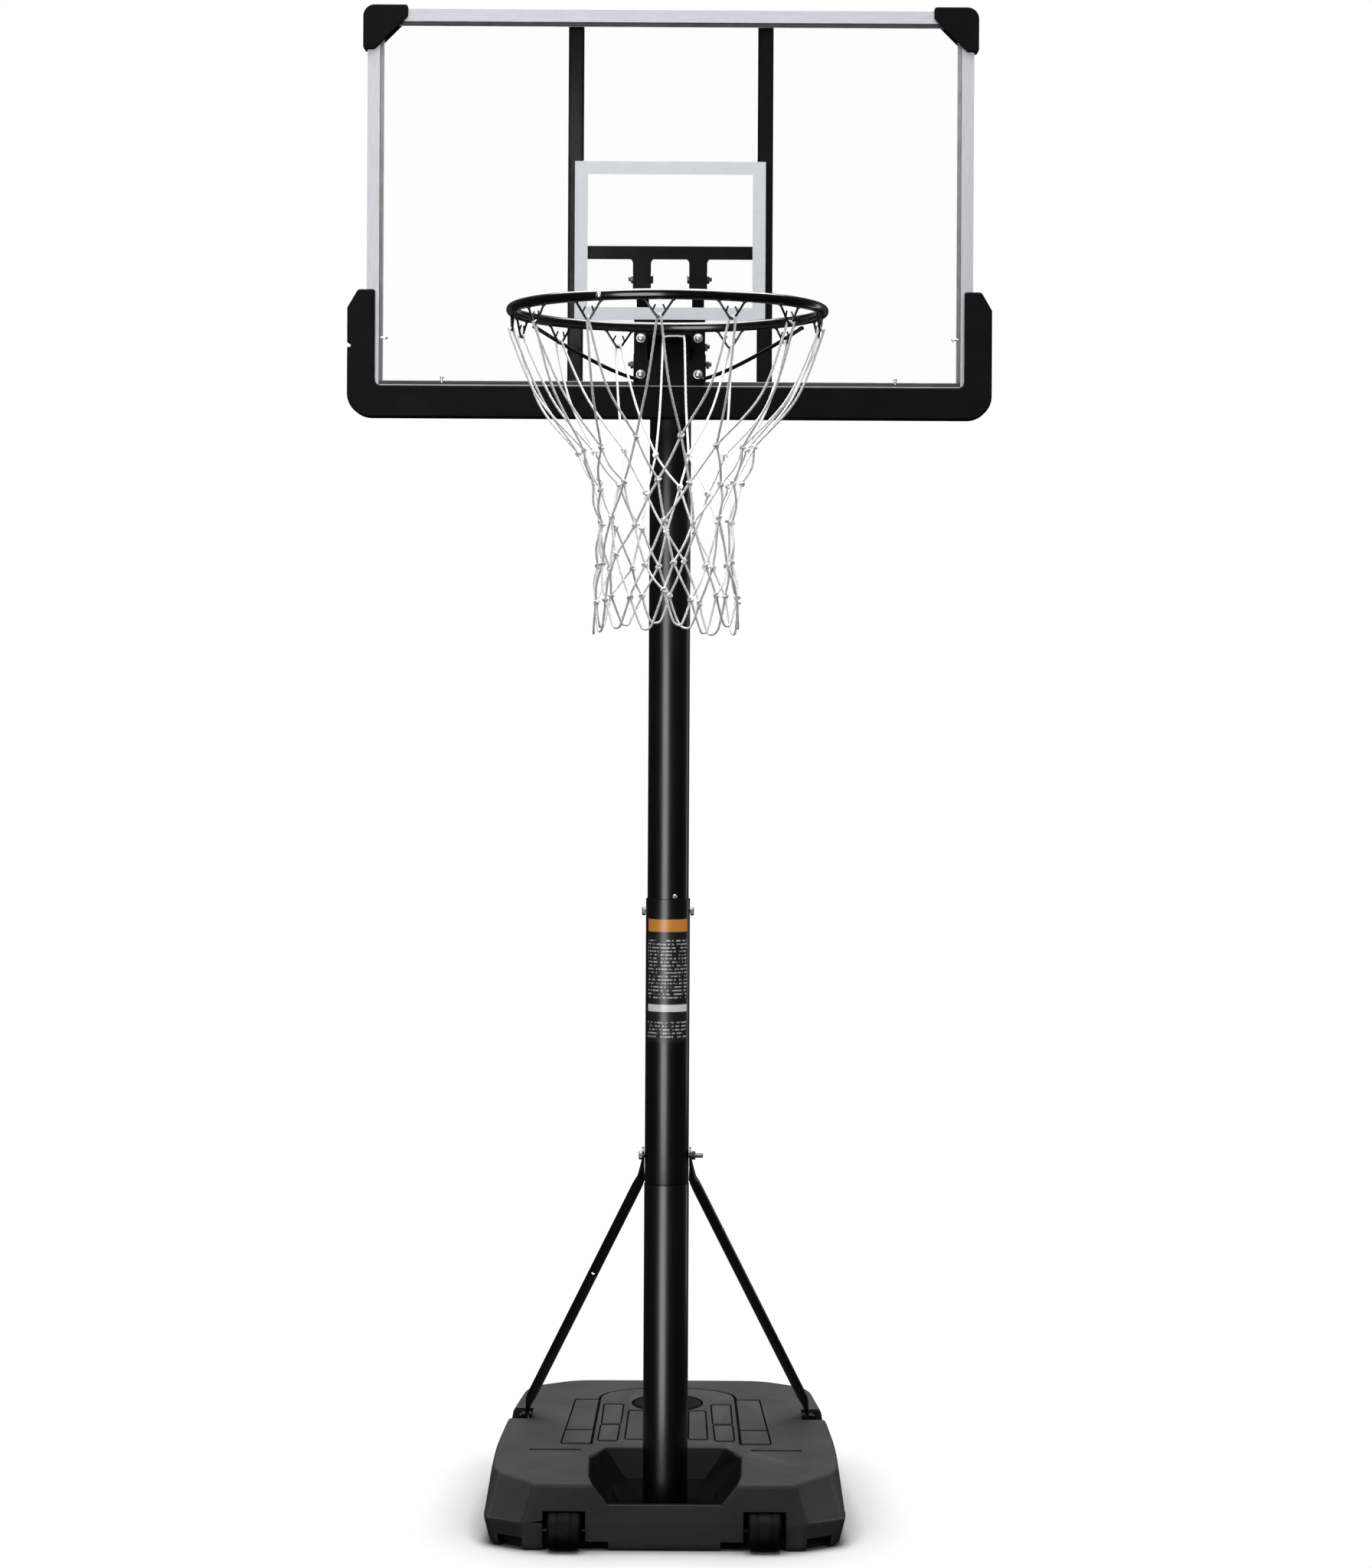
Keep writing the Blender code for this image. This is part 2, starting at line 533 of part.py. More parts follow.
foot_hole_r = 0.0044
for s, side in ((-1, "left"), (1, "right")):
    strut = finish("strut_" + side, loft_mesh("strut_" + side, strut_rings(s)), BLACK_COAT, smooth=40)
    boolean(strut, strut_hole)
    fx = s * FOOT[0]
    hole = cutter("foot_hole_" + side, rod_mesh("foot_hole_" + side, foot_hole_r, fx - 0.02, fx + 0.02, 'X', 12,
                                                (0, Y0 + FOOT[1], FOOT[2])))
    boolean(strut, hole)
    bx0, bx1 = sorted((s * (FOOT[0] - 0.0063), s * (FOOT[0] - 0.0024)))
    flange = prism_mesh("flange", [(Y0 + FOOT[1] - 0.020, 0.1026), (Y0 + FOOT[1] + 0.020, 0.1026),
                                   (Y0 + FOOT[1] + 0.014, 0.1290), (Y0 + FOOT[1] + 0.006, 0.1342),
                                   (Y0 + FOOT[1] - 0.006, 0.1342), (Y0 + FOOT[1] - 0.014, 0.1290)], bx0, bx1, 'YZ')
    bracket = finish("foot_bracket_" + side, flange, BLACK_COAT)
    px0, px1 = sorted((s * (FOOT[0] - 0.0063), s * (FOOT[0] + 0.0240)))
    boolean(bracket, cutter("foot_plate_" + side, box_mesh("foot_plate_" + side, (px0, Y0 + FOOT[1] - 0.030, 0.1024),
                                                           (px1, Y0 + FOOT[1] + 0.030, 0.1060))), 'UNION')
    boolean(bracket, hole)
    me = bolt_mesh("foot_bolt_" + side, 0.0040, -0.0066, 0.0130, 0.0068, 0.0040, 'X', tail=(0.0068, 0.0105))
    me.transform(Matrix.Translation((fx, Y0 + FOOT[1], FOOT[2])) @ Matrix.Rotation(math.pi if s < 0 else 0.0, 4, 'Z'))
    finish("foot_bolt_" + side, me, ZINC, smooth=30)

tab = MID_R + 0.0026 + 0.0020 + GAP
finish("strut_bolt", bolt_mesh("strut_bolt", 0.0040, -tab, 0.0620, 0.0075, 0.0052, 'X', (0, Y0, STRUT_Z)), ZINC, smooth=30)
nut = finish("strut_nut", rod_mesh("strut_nut", 0.0078, tab, tab + 0.0065, 'X', 6, (0, Y0, STRUT_Z)), ZINC)
boolean(nut, cutter("nut_bore", rod_mesh("nut_bore", 0.0044, 0.02, 0.08, 'X', 12, (0, Y0, STRUT_Z))))

# ---------------------------------------------------------------- backboard frame
RAIL = [(0.0, 0.0), (0.0200, 0.0), (0.0205, 0.0030), (0.0270, 0.0030), (0.0270, 0.0050), (0.0185, 0.0050),
        (0.0180, 0.0020), (0.0020, 0.0020), (0.0020, 0.0200), (0.0120, 0.0200), (0.0120, 0.0220), (0.0, 0.0220)]


def rail(name, half, place):
    """An extruded frame rail with mitred ends; u runs in from the frame's edge, v back from its face."""
    bm = bmesh.new()
    a = [bm.verts.new(place(-half + u + GAP, u, v)) for u, v in RAIL]
    b = [bm.verts.new(place(half - u - GAP, u, v)) for u, v in RAIL]
    n = len(a)
    for i in range(n):
        bm.faces.new((a[i], a[(i + 1) % n], b[(i + 1) % n], b[i]))
    bm.faces.new(a)
    bm.faces.new(b)
    return finish(name, to_mesh(name, bm), ALU)


mid_z = (FRAME_BOT + FRAME_TOP) / 2
half_z = (FRAME_TOP - FRAME_BOT) / 2
by = Y0 + BOARD_Y
rail("frame_top_rail", FRAME_HALF, lambda q, u, v: (q, by + v, FRAME_TOP - u))
rail("frame_bottom_rail", FRAME_HALF, lambda q, u, v: (q, by + v, FRAME_BOT + u))
rail("frame_left_rail", half_z, lambda q, u, v: (-FRAME_HALF + u, by + v, mid_z + q))
rail("frame_right_rail", half_z, lambda q, u, v: (FRAME_HALF - u, by + v, mid_z + q))

panel = finish("board_panel", box_mesh("board_panel", (-FRAME_HALF + 0.0025, Y0 + PANEL_F, FRAME_BOT + 0.0025),
                                       (FRAME_HALF - 0.0025, Y0 + PANEL_B, FRAME_TOP - 0.0025)), CLEAR)
PLATE_BOLTS = [(sx * 0.0467, z) for z in (2.017, 1.958) for sx in (-1, 1)]
holes = []
for x, z in PLATE_BOLTS:
    holes.append(rod_mesh("h", 0.0046, -0.30, -0.20, 'Y', 12, (x, Y0, z)))
plate_holes = cutter("plate_holes", join_meshes("plate_holes", holes))
boolean(panel, plate_holes)

square = finish("target_square", box_mesh("target_square", (-0.1555, Y0 + PANEL_F - 0.0007, 2.0465),
                                          (0.1555, Y0 + PANEL_F - 0.0003, 2.3055)), WHITE)
boolean(square, cutter("square_inside", box_mesh("square_inside", (-0.1345, -0.5, 2.0675), (0.1345, 0.5, 2.2845))))

slot = cutter("frame_slot", box_mesh("frame_slot", (-FRAME_HALF - 0.0005, Y0 + SLAB_F, FRAME_BOT - 0.0005),
                                     (FRAME_HALF + 0.0005, Y0 + SLAB_B, FRAME_TOP + 0.0005)))


def arc_points(cx, cy, r, a0, a1, n):
    return [(cx + r * math.cos(math.radians(a0 + (a1 - a0) * k / n)),
             cy + r * math.sin(math.radians(a0 + (a1 - a0) * k / n))) for k in range(n + 1)]


trim_half = ([(TRIM_HALF - 0.0175, TRIM_TOP), (TRIM_HALF, TRIM_TOP - 0.030)]
             + arc_points(TRIM_HALF - 0.039, TRIM_BOT + 0.039, 0.039, 0, -90, 6))
inner_half = arc_points(0.480 - 0.010, TRIM_IN_Z + 0.010, 0.010, -90, 0, 4) + [(0.480, TRIM_TOP)]
outline = (trim_half + [(-x, z) for x, z in reversed(trim_half)]
           + [(-x, z) for x, z in reversed(inner_half)] + inner_half)
trim = finish("bottom_trim", prism_mesh("bottom_trim", outline, Y0 - 0.2765, Y0 - 0.2400), PLASTIC, smooth=50)
bevel(trim, 0.0030, 2, 55)
boolean(trim, slot)
for s in (-1, 1):
    x0, x1 = sorted((s * (UPRIGHT_X - 0.0130), s * (UPRIGHT_X + 0.0130)))
    boolean(trim, cutter("upright_notch_%d" % (s + 1), box_mesh("upright_notch_%d" % (s + 1), (x0, Y0 - 0.2490, 1.899),
                                                                (x1, Y0 - 0.20, 1.980))))

for s, side in ((-1, "left"), (1, "right")):
    X, Z, L, W = 0.5015, 2.5580, 0.0730, 0.0200
    pts = [(X - L, Z)] + arc_points(X - 0.019, Z - 0.019, 0.019, 90, 0, 5) + [(X, Z - L), (X - W, Z - L), (X - L, Z - W)]
    pts = [(s * x, z) for x, z in pts]
    cap = finish("corner_cap_" + side, prism_mesh("corner_cap_" + side, pts, Y0 - 0.2745, Y0 - 0.2440), PLASTIC, smooth=50)
    bevel(cap, 0.0015, 2, 55)
    boolean(cap, slot)

# ---------------------------------------------------------------- rear structure
uz0, uz1 = 1.900, 2.5300
uy = Y0 + SLAB_B + 0.0003 + UPRIGHT_W / 2
for s, side in ((-1, "left"), (1, "right")):
    square_tube("rear_upright_" + side, UPRIGHT_W, UPRIGHT_W, 0.0015, uz1 - uz0, BLACK_COAT,
                (s * UPRIGHT_X, uy, (uz0 + uz1) / 2))


def crossbar(name, z, pin_z, back=0.0):
    """A flat bar between the uprights with four drilled ears for the arms."""
    hx = UPRIGHT_X - UPRIGHT_W / 2 - GAP
    bar = finish(name, box_mesh(name, (-hx, Y0 - 0.2440 + back, z - 0.010), (hx, Y0 - 0.2300 + back, z + 0.010)), BLACK_COAT)
    up = 1 if pin_z > z else -1
    for k, x in enumerate((-ARM_X - ARM_W / 2 - EAR_T - GAP, -ARM_X + ARM_W / 2 + GAP,
                           ARM_X - ARM_W / 2 - EAR_T - GAP, ARM_X + ARM_W / 2 + GAP)):
        ear = [(Y0 - 0.2420 + back, z - up * 0.006), (Y0 - 0.2420 + back, pin_z + up * 0.010), (Y0 - 0.2360, pin_z + up * 0.014),
               (Y0 + FRONT_PIN_Y + 0.004, pin_z + up * 0.014), (Y0 + FRONT_PIN_Y + 0.013, pin_z + up * 0.006),
               (Y0 + FRONT_PIN_Y + 0.013, pin_z - up * 0.006), (Y0 - 0.2310 + 0.006 + back, z - up * 0.006)]
        boolean(bar, cutter("%s_ear_%d" % (name, k), prism_mesh("%s_ear_%d" % (name, k), ear, x, x + EAR_T, 'YZ')), 'UNION')
    boolean(bar, cutter(name + "_pin", rod_mesh(name + "_pin", 0.0046, -0.10, 0.10, 'X', 12, (0, Y0 + FRONT_PIN_Y, pin_z))))
    return bar


crossbar("upper_crossbar", 2.160, UP_PIN_Z)
crossbar("lower_crossbar", 1.912, LO_PIN_Z, 0.0047)


def arm(name, s, z_front, z_rear):
    """An offset arm: a square tube from the ear bolt to the pole bolt."""
    y_f, y_r = FRONT_PIN_Y, 0.0
    dy, dz = y_r - y_f, z_rear - z_front
    length = math.hypot(dy, dz)
    over_f, over_r = 0.0115, 0.018
    total = length + over_f + over_r
    ang = math.atan2(dy, dz)
    ux, uz = dy / length, dz / length
    cy = (y_f - ux * over_f + y_r + ux * over_r) / 2
    cz = (z_front - uz * over_f + z_rear + uz * over_r) / 2
    ob = square_tube(name, ARM_W, ARM_H, 0.0018, total, BLACK_COAT, (s * ARM_X, Y0 + cy, cz), (-ang, 0, 0))
    for k, (y, z) in enumerate(((y_f, z_front), (y_r, z_rear))):
        a, b = sorted((s * (ARM_X - 0.02), s * (ARM_X + 0.02)))
        boolean(ob, cutter("%s_%d" % (name, k), rod_mesh("%s_%d" % (name, k), 0.0046, a, b, 'X', 12, (0, Y0 + y, z))))
    return ob


for s, side in ((-1, "left"), (1, "right")):
    for level, zf, zr in (("upper", UP_PIN_Z, UP_POLE_Z), ("lower", LO_PIN_Z, LO_POLE_Z)):
        arm("%s_arm_%s" % (level, side), s, zf, zr)
        half = ARM_W / 2 + EAR_T + 2 * GAP
        me = bolt_mesh("pin", 0.0040, -half, half + 0.0090, 0.0075, 0.0045, 'X', tail=(0.0075, 0.0086))
        me.transform(Matrix.Translation((s * ARM_X, Y0 + FRONT_PIN_Y, zf)) @ Matrix.Rotation(math.pi if s < 0 else 0.0, 4, 'Z'))
        finish("%s_front_bolt_%s" % (level, side), me, ZINC, smooth=30)

for level, zr in (("upper", UP_POLE_Z), ("lower", LO_POLE_Z)):
    h = ARM_X + ARM_W / 2 + GAP
    finish(level + "_pole_bolt", bolt_mesh(level + "_pole_bolt", 0.0042, -h, h + 0.0100, 0.0080, 0.0055, 'X',
                                           (0, Y0, zr), tail=(0.0080, 0.0097)), ZINC, smooth=30)
    boolean(upper, cutter(level + "_pole_hole", rod_mesh(level + "_pole_hole", 0.0047, -0.06, 0.06, 'X', 12, (0, Y0, zr))))

# ---------------------------------------------------------------- rim
ring_z, ring_y = RIM_Z, Y0 + RIM_Y
circle = [(RIM_R + RIM_ROD * math.cos(math.tau * k / 10), RIM_ROD * math.sin(math.tau * k / 10)) for k in range(10)]
ring = screw_object("rim_ring", circle, BLACK_COAT, seg=56, closed=True, loc=(0, ring_y, ring_z), smooth=60)
hooks = []
for k in range(HOOKS):
    a = -2.4 + HOOK_PITCH * (k - HOOKS // 2)
    pts = []
    for da, dz in ((-5.2, -0.0035), (-1.1, -0.0320), (1.1, -0.0320), (5.2, -0.0035)):
        t = math.radians(a + da)
        pts.append((RIM_R * math.sin(t), ring_y - RIM_R * math.cos(t), ring_z + dz))
    hooks.append(wire_mesh("hook", pts, 0.0017, 0))
boolean(ring, cutter("net_hooks", join_meshes("net_hooks", hooks)), 'UNION')

plate = finish("rim_bracket", box_mesh("rim_bracket", (-PLATE_HALF, Y0 + PLATE_F, PLATE_Z0),
                                       (PLATE_HALF, Y0 + PLATE_B, PLATE_Z1)), BLACK_COAT)
rear_y = RIM_Y + RIM_R
shelf_top = RIM_Z - RIM_ROD - GAP
shelf = prism_mesh("shelf", [(-0.036, Y0 + PLATE_F + 0.002), (0.036, Y0 + PLATE_F + 0.002), (0.036, Y0 + rear_y + 0.012),
                             (0.030, Y0 + rear_y - 0.006), (-0.030, Y0 + rear_y - 0.006), (-0.036, Y0 + rear_y + 0.012)],
                   shelf_top - 0.0040, shelf_top, 'XY')
boolean(plate, cutter("shelf", shelf), 'UNION')
for s in (-1, 1):
    x0, x1 = sorted((s * 0.0325, s * 0.0360))
    gus = [(Y0 + PLATE_F + 0.002, shelf_top - 0.002), (Y0 + PLATE_F + 0.002, shelf_top - 0.0300),
           (Y0 + rear_y + 0.025, shelf_top - 0.0080), (Y0 + rear_y + 0.012, shelf_top - 0.002)]
    boolean(plate, cutter("gusset_%d" % (s + 1), prism_mesh("gusset_%d" % (s + 1), gus, x0, x1, 'YZ')), 'UNION')
boolean(plate, plate_holes)

for (x, z), nm in zip(PLATE_BOLTS, ("upper_left", "upper_right", "lower_left", "lower_right")):
    rings = [[(x + r * math.cos(math.tau * i / 14), Y0 + y, z + r * math.sin(math.tau * i / 14)) for i in range(14)]
             for r, y in ((0.0028, PLATE_F - 0.0050), (0.0055, PLATE_F - 0.0038), (0.0074, PLATE_F - 0.0018),
                          (0.0078, PLATE_F - GAP), (0.0040, PLATE_F - GAP))]
    rings = rings[:5] + [[(x + 0.0040 * math.cos(math.tau * i / 14), Y0 + PANEL_B + 0.0006,
                           z + 0.0040 * math.sin(math.tau * i / 14)) for i in range(14)]] + \
        [[(x + r * math.cos(math.tau * i / 14), Y0 + y, z + r * math.sin(math.tau * i / 14)) for i in range(14)]
         for r, y in ((0.0070, PANEL_B + 0.0006), (0.0070, PANEL_B + 0.0062))]
    finish("plate_bolt_" + nm, loft_mesh("plate_bolt_" + nm, rings), ZINC, smooth=35)

for s, side in ((-1, "left"), (1, "right")):
    a = Vector((s * 0.0530, Y0 + PLATE_F - 0.0036, 1.9500))
    b = Vector((s * 0.2080, Y0 - 0.5320, RIM_Z - RIM_ROD - 0.0036))
    tang = Vector((s * 0.43, -0.90, 0.0)).normalized()
    pts = []
    for k in range(11):
        t = k / 10
        c1 = a + Vector((s * 0.045, -0.030, 0.006))
        c2 = b - tang * 0.045 - Vector((0, 0, 0.010))
        pts.append((1 - t) ** 3 * a + 3 * (1 - t) ** 2 * t * c1 + 3 * (1 - t) * t * t * c2 + t ** 3 * b)
    finish("rim_brace_" + side, wire_mesh("rim_brace_" + side, [tuple(p) for p in pts], 0.0030, 1), BLACK_COAT, smooth=60)

NET = [(NET_TOP, 0.2300), (1.890, 0.190), (1.835, 0.150), (1.775, 0.120), (1.740, 0.108), (1.680, 0.100),
       (1.620, 0.107), (NET_BOT, 0.110)]
prof = [(r, z) for z, r in NET] + [(r - 0.003, z) for z, r in reversed(NET)]
screw_object("net", prof, CORD, seg=24, loc=(0, ring_y, 0), smooth=60)
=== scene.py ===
import math
import random
import bpy
import bmesh
from mathutils import Matrix, Vector


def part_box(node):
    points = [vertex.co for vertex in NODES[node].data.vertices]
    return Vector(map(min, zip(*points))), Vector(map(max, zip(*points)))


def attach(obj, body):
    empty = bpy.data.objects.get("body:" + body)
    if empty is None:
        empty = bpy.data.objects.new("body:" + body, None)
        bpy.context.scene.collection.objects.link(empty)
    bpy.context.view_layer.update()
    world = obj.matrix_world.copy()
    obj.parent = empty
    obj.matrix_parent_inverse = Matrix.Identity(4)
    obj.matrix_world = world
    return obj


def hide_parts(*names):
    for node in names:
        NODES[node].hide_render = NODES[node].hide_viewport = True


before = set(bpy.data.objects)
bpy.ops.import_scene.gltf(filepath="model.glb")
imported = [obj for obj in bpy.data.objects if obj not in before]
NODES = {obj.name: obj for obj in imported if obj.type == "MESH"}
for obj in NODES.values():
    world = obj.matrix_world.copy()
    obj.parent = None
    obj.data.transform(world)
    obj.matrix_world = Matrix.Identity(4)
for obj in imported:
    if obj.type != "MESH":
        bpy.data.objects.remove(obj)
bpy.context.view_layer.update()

rnd = random.Random(7)

# ------------------------------------------------------------ places, read from the frame
lo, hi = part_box("upper_pole")
Y0 = (lo[1] + hi[1]) / 2                       # pole axis
POLE_TOP = hi[2]
UPPER_R = (hi[0] - lo[0]) / 2
UPPER_FOOT = lo[2]
lo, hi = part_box("middle_pole")
MID_R, JOINT_UP = (hi[0] - lo[0]) / 2, hi[2]
lo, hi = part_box("lower_pole")
LOWER_R, FOOT_Z, JOINT_LOW = (hi[0] - lo[0]) / 2, lo[2], hi[2]
lo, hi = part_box("rim_ring")
RING_Y, ROD, RING_R = (lo[1] + hi[1]) / 2, 0.008, (hi[0] - lo[0]) / 2 - 0.008
RING_Z = hi[2] - ROD
lo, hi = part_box("board_panel")
PANEL_F = lo[1]
lo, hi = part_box("base_tank")
FRONT, BACK = lo[1] - Y0, hi[1] - Y0
G = 0.0004


# ------------------------------------------------------------ mesh helpers
def mesh_of(name, bm, recalc=True):
    if recalc:
        bmesh.ops.recalc_face_normals(bm, faces=bm.faces)
    me = bpy.data.meshes.new(name)
    bm.to_mesh(me)
    bm.free()
    return me


def add(name, me, mat, body, smooth=40, replaces=(), crisp=False):
    ob = bpy.data.objects.new(name, me)
    bpy.context.scene.collection.objects.link(ob)
    me.materials.clear()
    me.materials.append(mat)
    if smooth is not None:
        me.shade_smooth()
        me.set_sharp_from_angle(angle=math.radians(smooth))
        if crisp:
            wn = ob.modifiers.new("even_normals", 'WEIGHTED_NORMAL')
            wn.keep_sharp, wn.weight = True, 100
    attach(ob, body)
    if replaces:
        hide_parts(*replaces)
    return ob


def tmp_object(me):
    ob = bpy.data.objects.new(me.name, me)
    bpy.context.scene.collection.objects.link(ob)
    return ob


def baked(me, cutters=(), unions=(), bevels=(), late_bevel=None):
    """Applies bevels and exact Booleans to a mesh and returns the result as a mesh."""
    ob = tmp_object(me)
    gone = [ob]
    for width, seg, ang in bevels:
        m = ob.modifiers.new("b", 'BEVEL')
        m.width, m.segments, m.limit_method, m.angle_limit = width, seg, 'ANGLE', math.radians(ang)
    for op, group in (('UNION', unions), ('DIFFERENCE', cutters)):
        for c in group:
            co = tmp_object(c)
            gone.append(co)
            m = ob.modifiers.new("c", 'BOOLEAN')
            m.operation, m.solver, m.object = op, 'EXACT', co
    if late_bevel:
        m = ob.modifiers.new("lb", 'BEVEL')
        m.width, m.segments, m.limit_method, m.angle_limit = late_bevel[0], late_bevel[1], 'ANGLE', math.radians(late_bevel[2])
        m.harden_normals = False
        m.use_clamp_overlap = True
        m.miter_outer = 'MITER_ARC'
    dg = bpy.context.evaluated_depsgraph_get()
    out = bpy.data.meshes.new_from_object(ob.evaluated_get(dg))
    for o in gone:
        bpy.data.objects.remove(o, do_unlink=True)
    return out


def box(lo, hi):
    bm = bmesh.new()
    bmesh.ops.create_cube(bm, size=1.0)
    bmesh.ops.scale(bm, vec=[h - l for l, h in zip(lo, hi)], verts=bm.verts)
    bmesh.ops.translate(bm, vec=[(h + l) / 2 for l, h in zip(lo, hi)], verts=bm.verts)
    return mesh_of("box", bm)


AXIS = {'X': Matrix.Rotation(math.radians(90), 4, 'Y'), 'Y': Matrix.Rotation(math.radians(-90), 4, 'X'),
        'Z': Matrix.Identity(4)}


def rod(r, a, b, axis='Z', seg=48, at=(0, 0, 0), r2=None):
    bm = bmesh.new()
    m = Matrix.Translation(Vector(at)) @ AXIS[axis] @ Matrix.Translation((0, 0, (a + b) / 2))
    bmesh.ops.create_cone(bm, cap_ends=True, segments=seg, radius1=r, radius2=r if r2 is None else r2, depth=b - a, matrix=m)
    return mesh_of("rod", bm)


def turn(profile, seg=96, matrix=None, shape=None):
    """A closed solid of revolution about local Z from a closed or axis-to-axis profile of (r, z)."""
    bm = bmesh.new()
    rows = []
    for k in range(seg):
        a = math.tau * k / seg
        rows.append([(0, 0, z) if r < 1e-7 else
                     ((r if shape is None else shape(r, z, a)) * math.cos(a), (r if shape is None else shape(r, z, a)) * math.sin(a), z)
                     for r, z in profile])
    grid = [[bm.verts.new(p) for p in row] for row in rows]
    n = len(profile)
    loop = not (profile[0][0] < 1e-7 and profile[-1][0] < 1e-7)
    for k in range(seg):
        r0, r1 = grid[k], grid[(k + 1) % seg]
        for i in range(n if loop else n - 1):
            j = (i + 1) % n
            bm.faces.new((r0[i], r0[j], r1[j], r1[i]))
    bmesh.ops.remove_doubles(bm, verts=bm.verts, dist=1e-7)
    bmesh.ops.dissolve_degenerate(bm, edges=bm.edges, dist=1e-8)
    if matrix is not None:
        bmesh.ops.transform(bm, matrix=matrix, verts=bm.verts)
    return mesh_of("turned", bm)


def prism(outline, y0, y1, plane='XZ'):
    bm = bmesh.new()

    def p(u, v, d):
        return {'XZ': (u, d, v), 'XY': (u, v, d), 'YZ': (d, u, v)}[plane]
    a = [bm.verts.new(p(u, v, y0)) for u, v in outline]
    b = [bm.verts.new(p(u, v, y1)) for u, v in outline]
    n = len(a)
    for i in range(n):
        bm.faces.new((a[i], a[(i + 1) % n], b[(i + 1) % n], b[i]))
    bm.faces.new(a)
    bm.faces.new(b)
    return mesh_of("prism", bm)


def loft(rings, caps=True):
    bm = bmesh.new()
    rows = [[bm.verts.new(p) for p in ring] for ring in rings]
    n = len(rows[0])
    for r0, r1 in zip(rows, rows[1:]):
        for i in range(n):
            bm.faces.new((r0[i], r0[(i + 1) % n], r1[(i + 1) % n], r1[i]))
    if caps:
        bm.faces.new(rows[0])
        bm.faces.new(rows[-1])
    return mesh_of("loft", bm)


def join(meshes):
    bm = bmesh.new()
    for me in meshes:
        bm.from_mesh(me)
    return mesh_of("joined", bm, recalc=False)


def frames_along(pts, closed=False):
    """Rotation-minimising frames along a list of points."""
    n = len(pts)
    tan = []
    for i in range(n):
        a = pts[(i - 1) % n] if (closed or i > 0) else pts[0]
        b = pts[(i + 1) % n] if (closed or i < n - 1) else pts[-1]
        d = b - a
        tan.append(d.normalized() if d.length > 1e-9 else Vector((0, 0, 1)))
    ref = Vector((0, 0, 1)) if abs(tan[0].z) < 0.9 else Vector((1, 0, 0))
    u = (ref - tan[0] * ref.dot(tan[0])).normalized()
    out = []
    for i in range(n):
        u = u - tan[i] * u.dot(tan[i])
        u = u.normalized() if u.length > 1e-9 else tan[i].orthogonal().normalized()
        out.append((u, tan[i].cross(u), tan[i]))
    return out


def tube(bm, pts, r, seg=10, closed=False, section=None):
    """Adds a tube along points; section(s, a) scales the radius by distance run and angle."""
    pts = [Vector(p) for p in pts]
    fr = frames_along(pts, closed)
    rows, run = [], 0.0
    for i, p in enumerate(pts):
        if i:
            run += (p - pts[i - 1]).length
        u, v, _ = fr[i]
        row = []
        for k in range(seg):
            a = math.tau * k / seg
            rr = (r[i] if isinstance(r, list) else r) * (section(run, a) if section else 1.0)
            row.append(bm.verts.new(p + u * (rr * math.cos(a)) + v * (rr * math.sin(a))))
        rows.append(row)
    m = len(rows)
    for i in range(m if closed else m - 1):
        r0, r1 = rows[i], rows[(i + 1) % m]
        for k in range(seg):
            bm.faces.new((r0[k], r0[(k + 1) % seg], r1[(k + 1) % seg], r1[k]))
    if not closed:
        bm.faces.new(rows[0][::-1])
        bm.faces.new(rows[-1])


def resample(pts, step):
    """Catmull-Rom through the points, at about the given spacing."""
    pts = [Vector(p) for p in pts]
    out = []
    for i in range(len(pts) - 1):
        p0 = pts[i - 1] if i else pts[0] * 2 - pts[1]
        p1, p2 = pts[i], pts[i + 1]
        p3 = pts[i + 2] if i + 2 < len(pts) else p2 * 2 - p1
        n = max(1, int(round((p2 - p1).length / step)))
        for k in range(n):
            t = k / n
            out.append(0.5 * ((2 * p1) + (p2 - p0) * t + (2 * p0 - 5 * p1 + 4 * p2 - p3) * t * t
                              + (3 * p1 - p0 - 3 * p2 + p3) * t * t * t))
    out.append(pts[-1])
    return out


def arc(cx, cy, r, a0, a1, n):
    return [(cx + r * math.cos(math.radians(a0 + (a1 - a0) * k / n)),
             cy + r * math.sin(math.radians(a0 + (a1 - a0) * k / n))) for k in range(n + 1)]


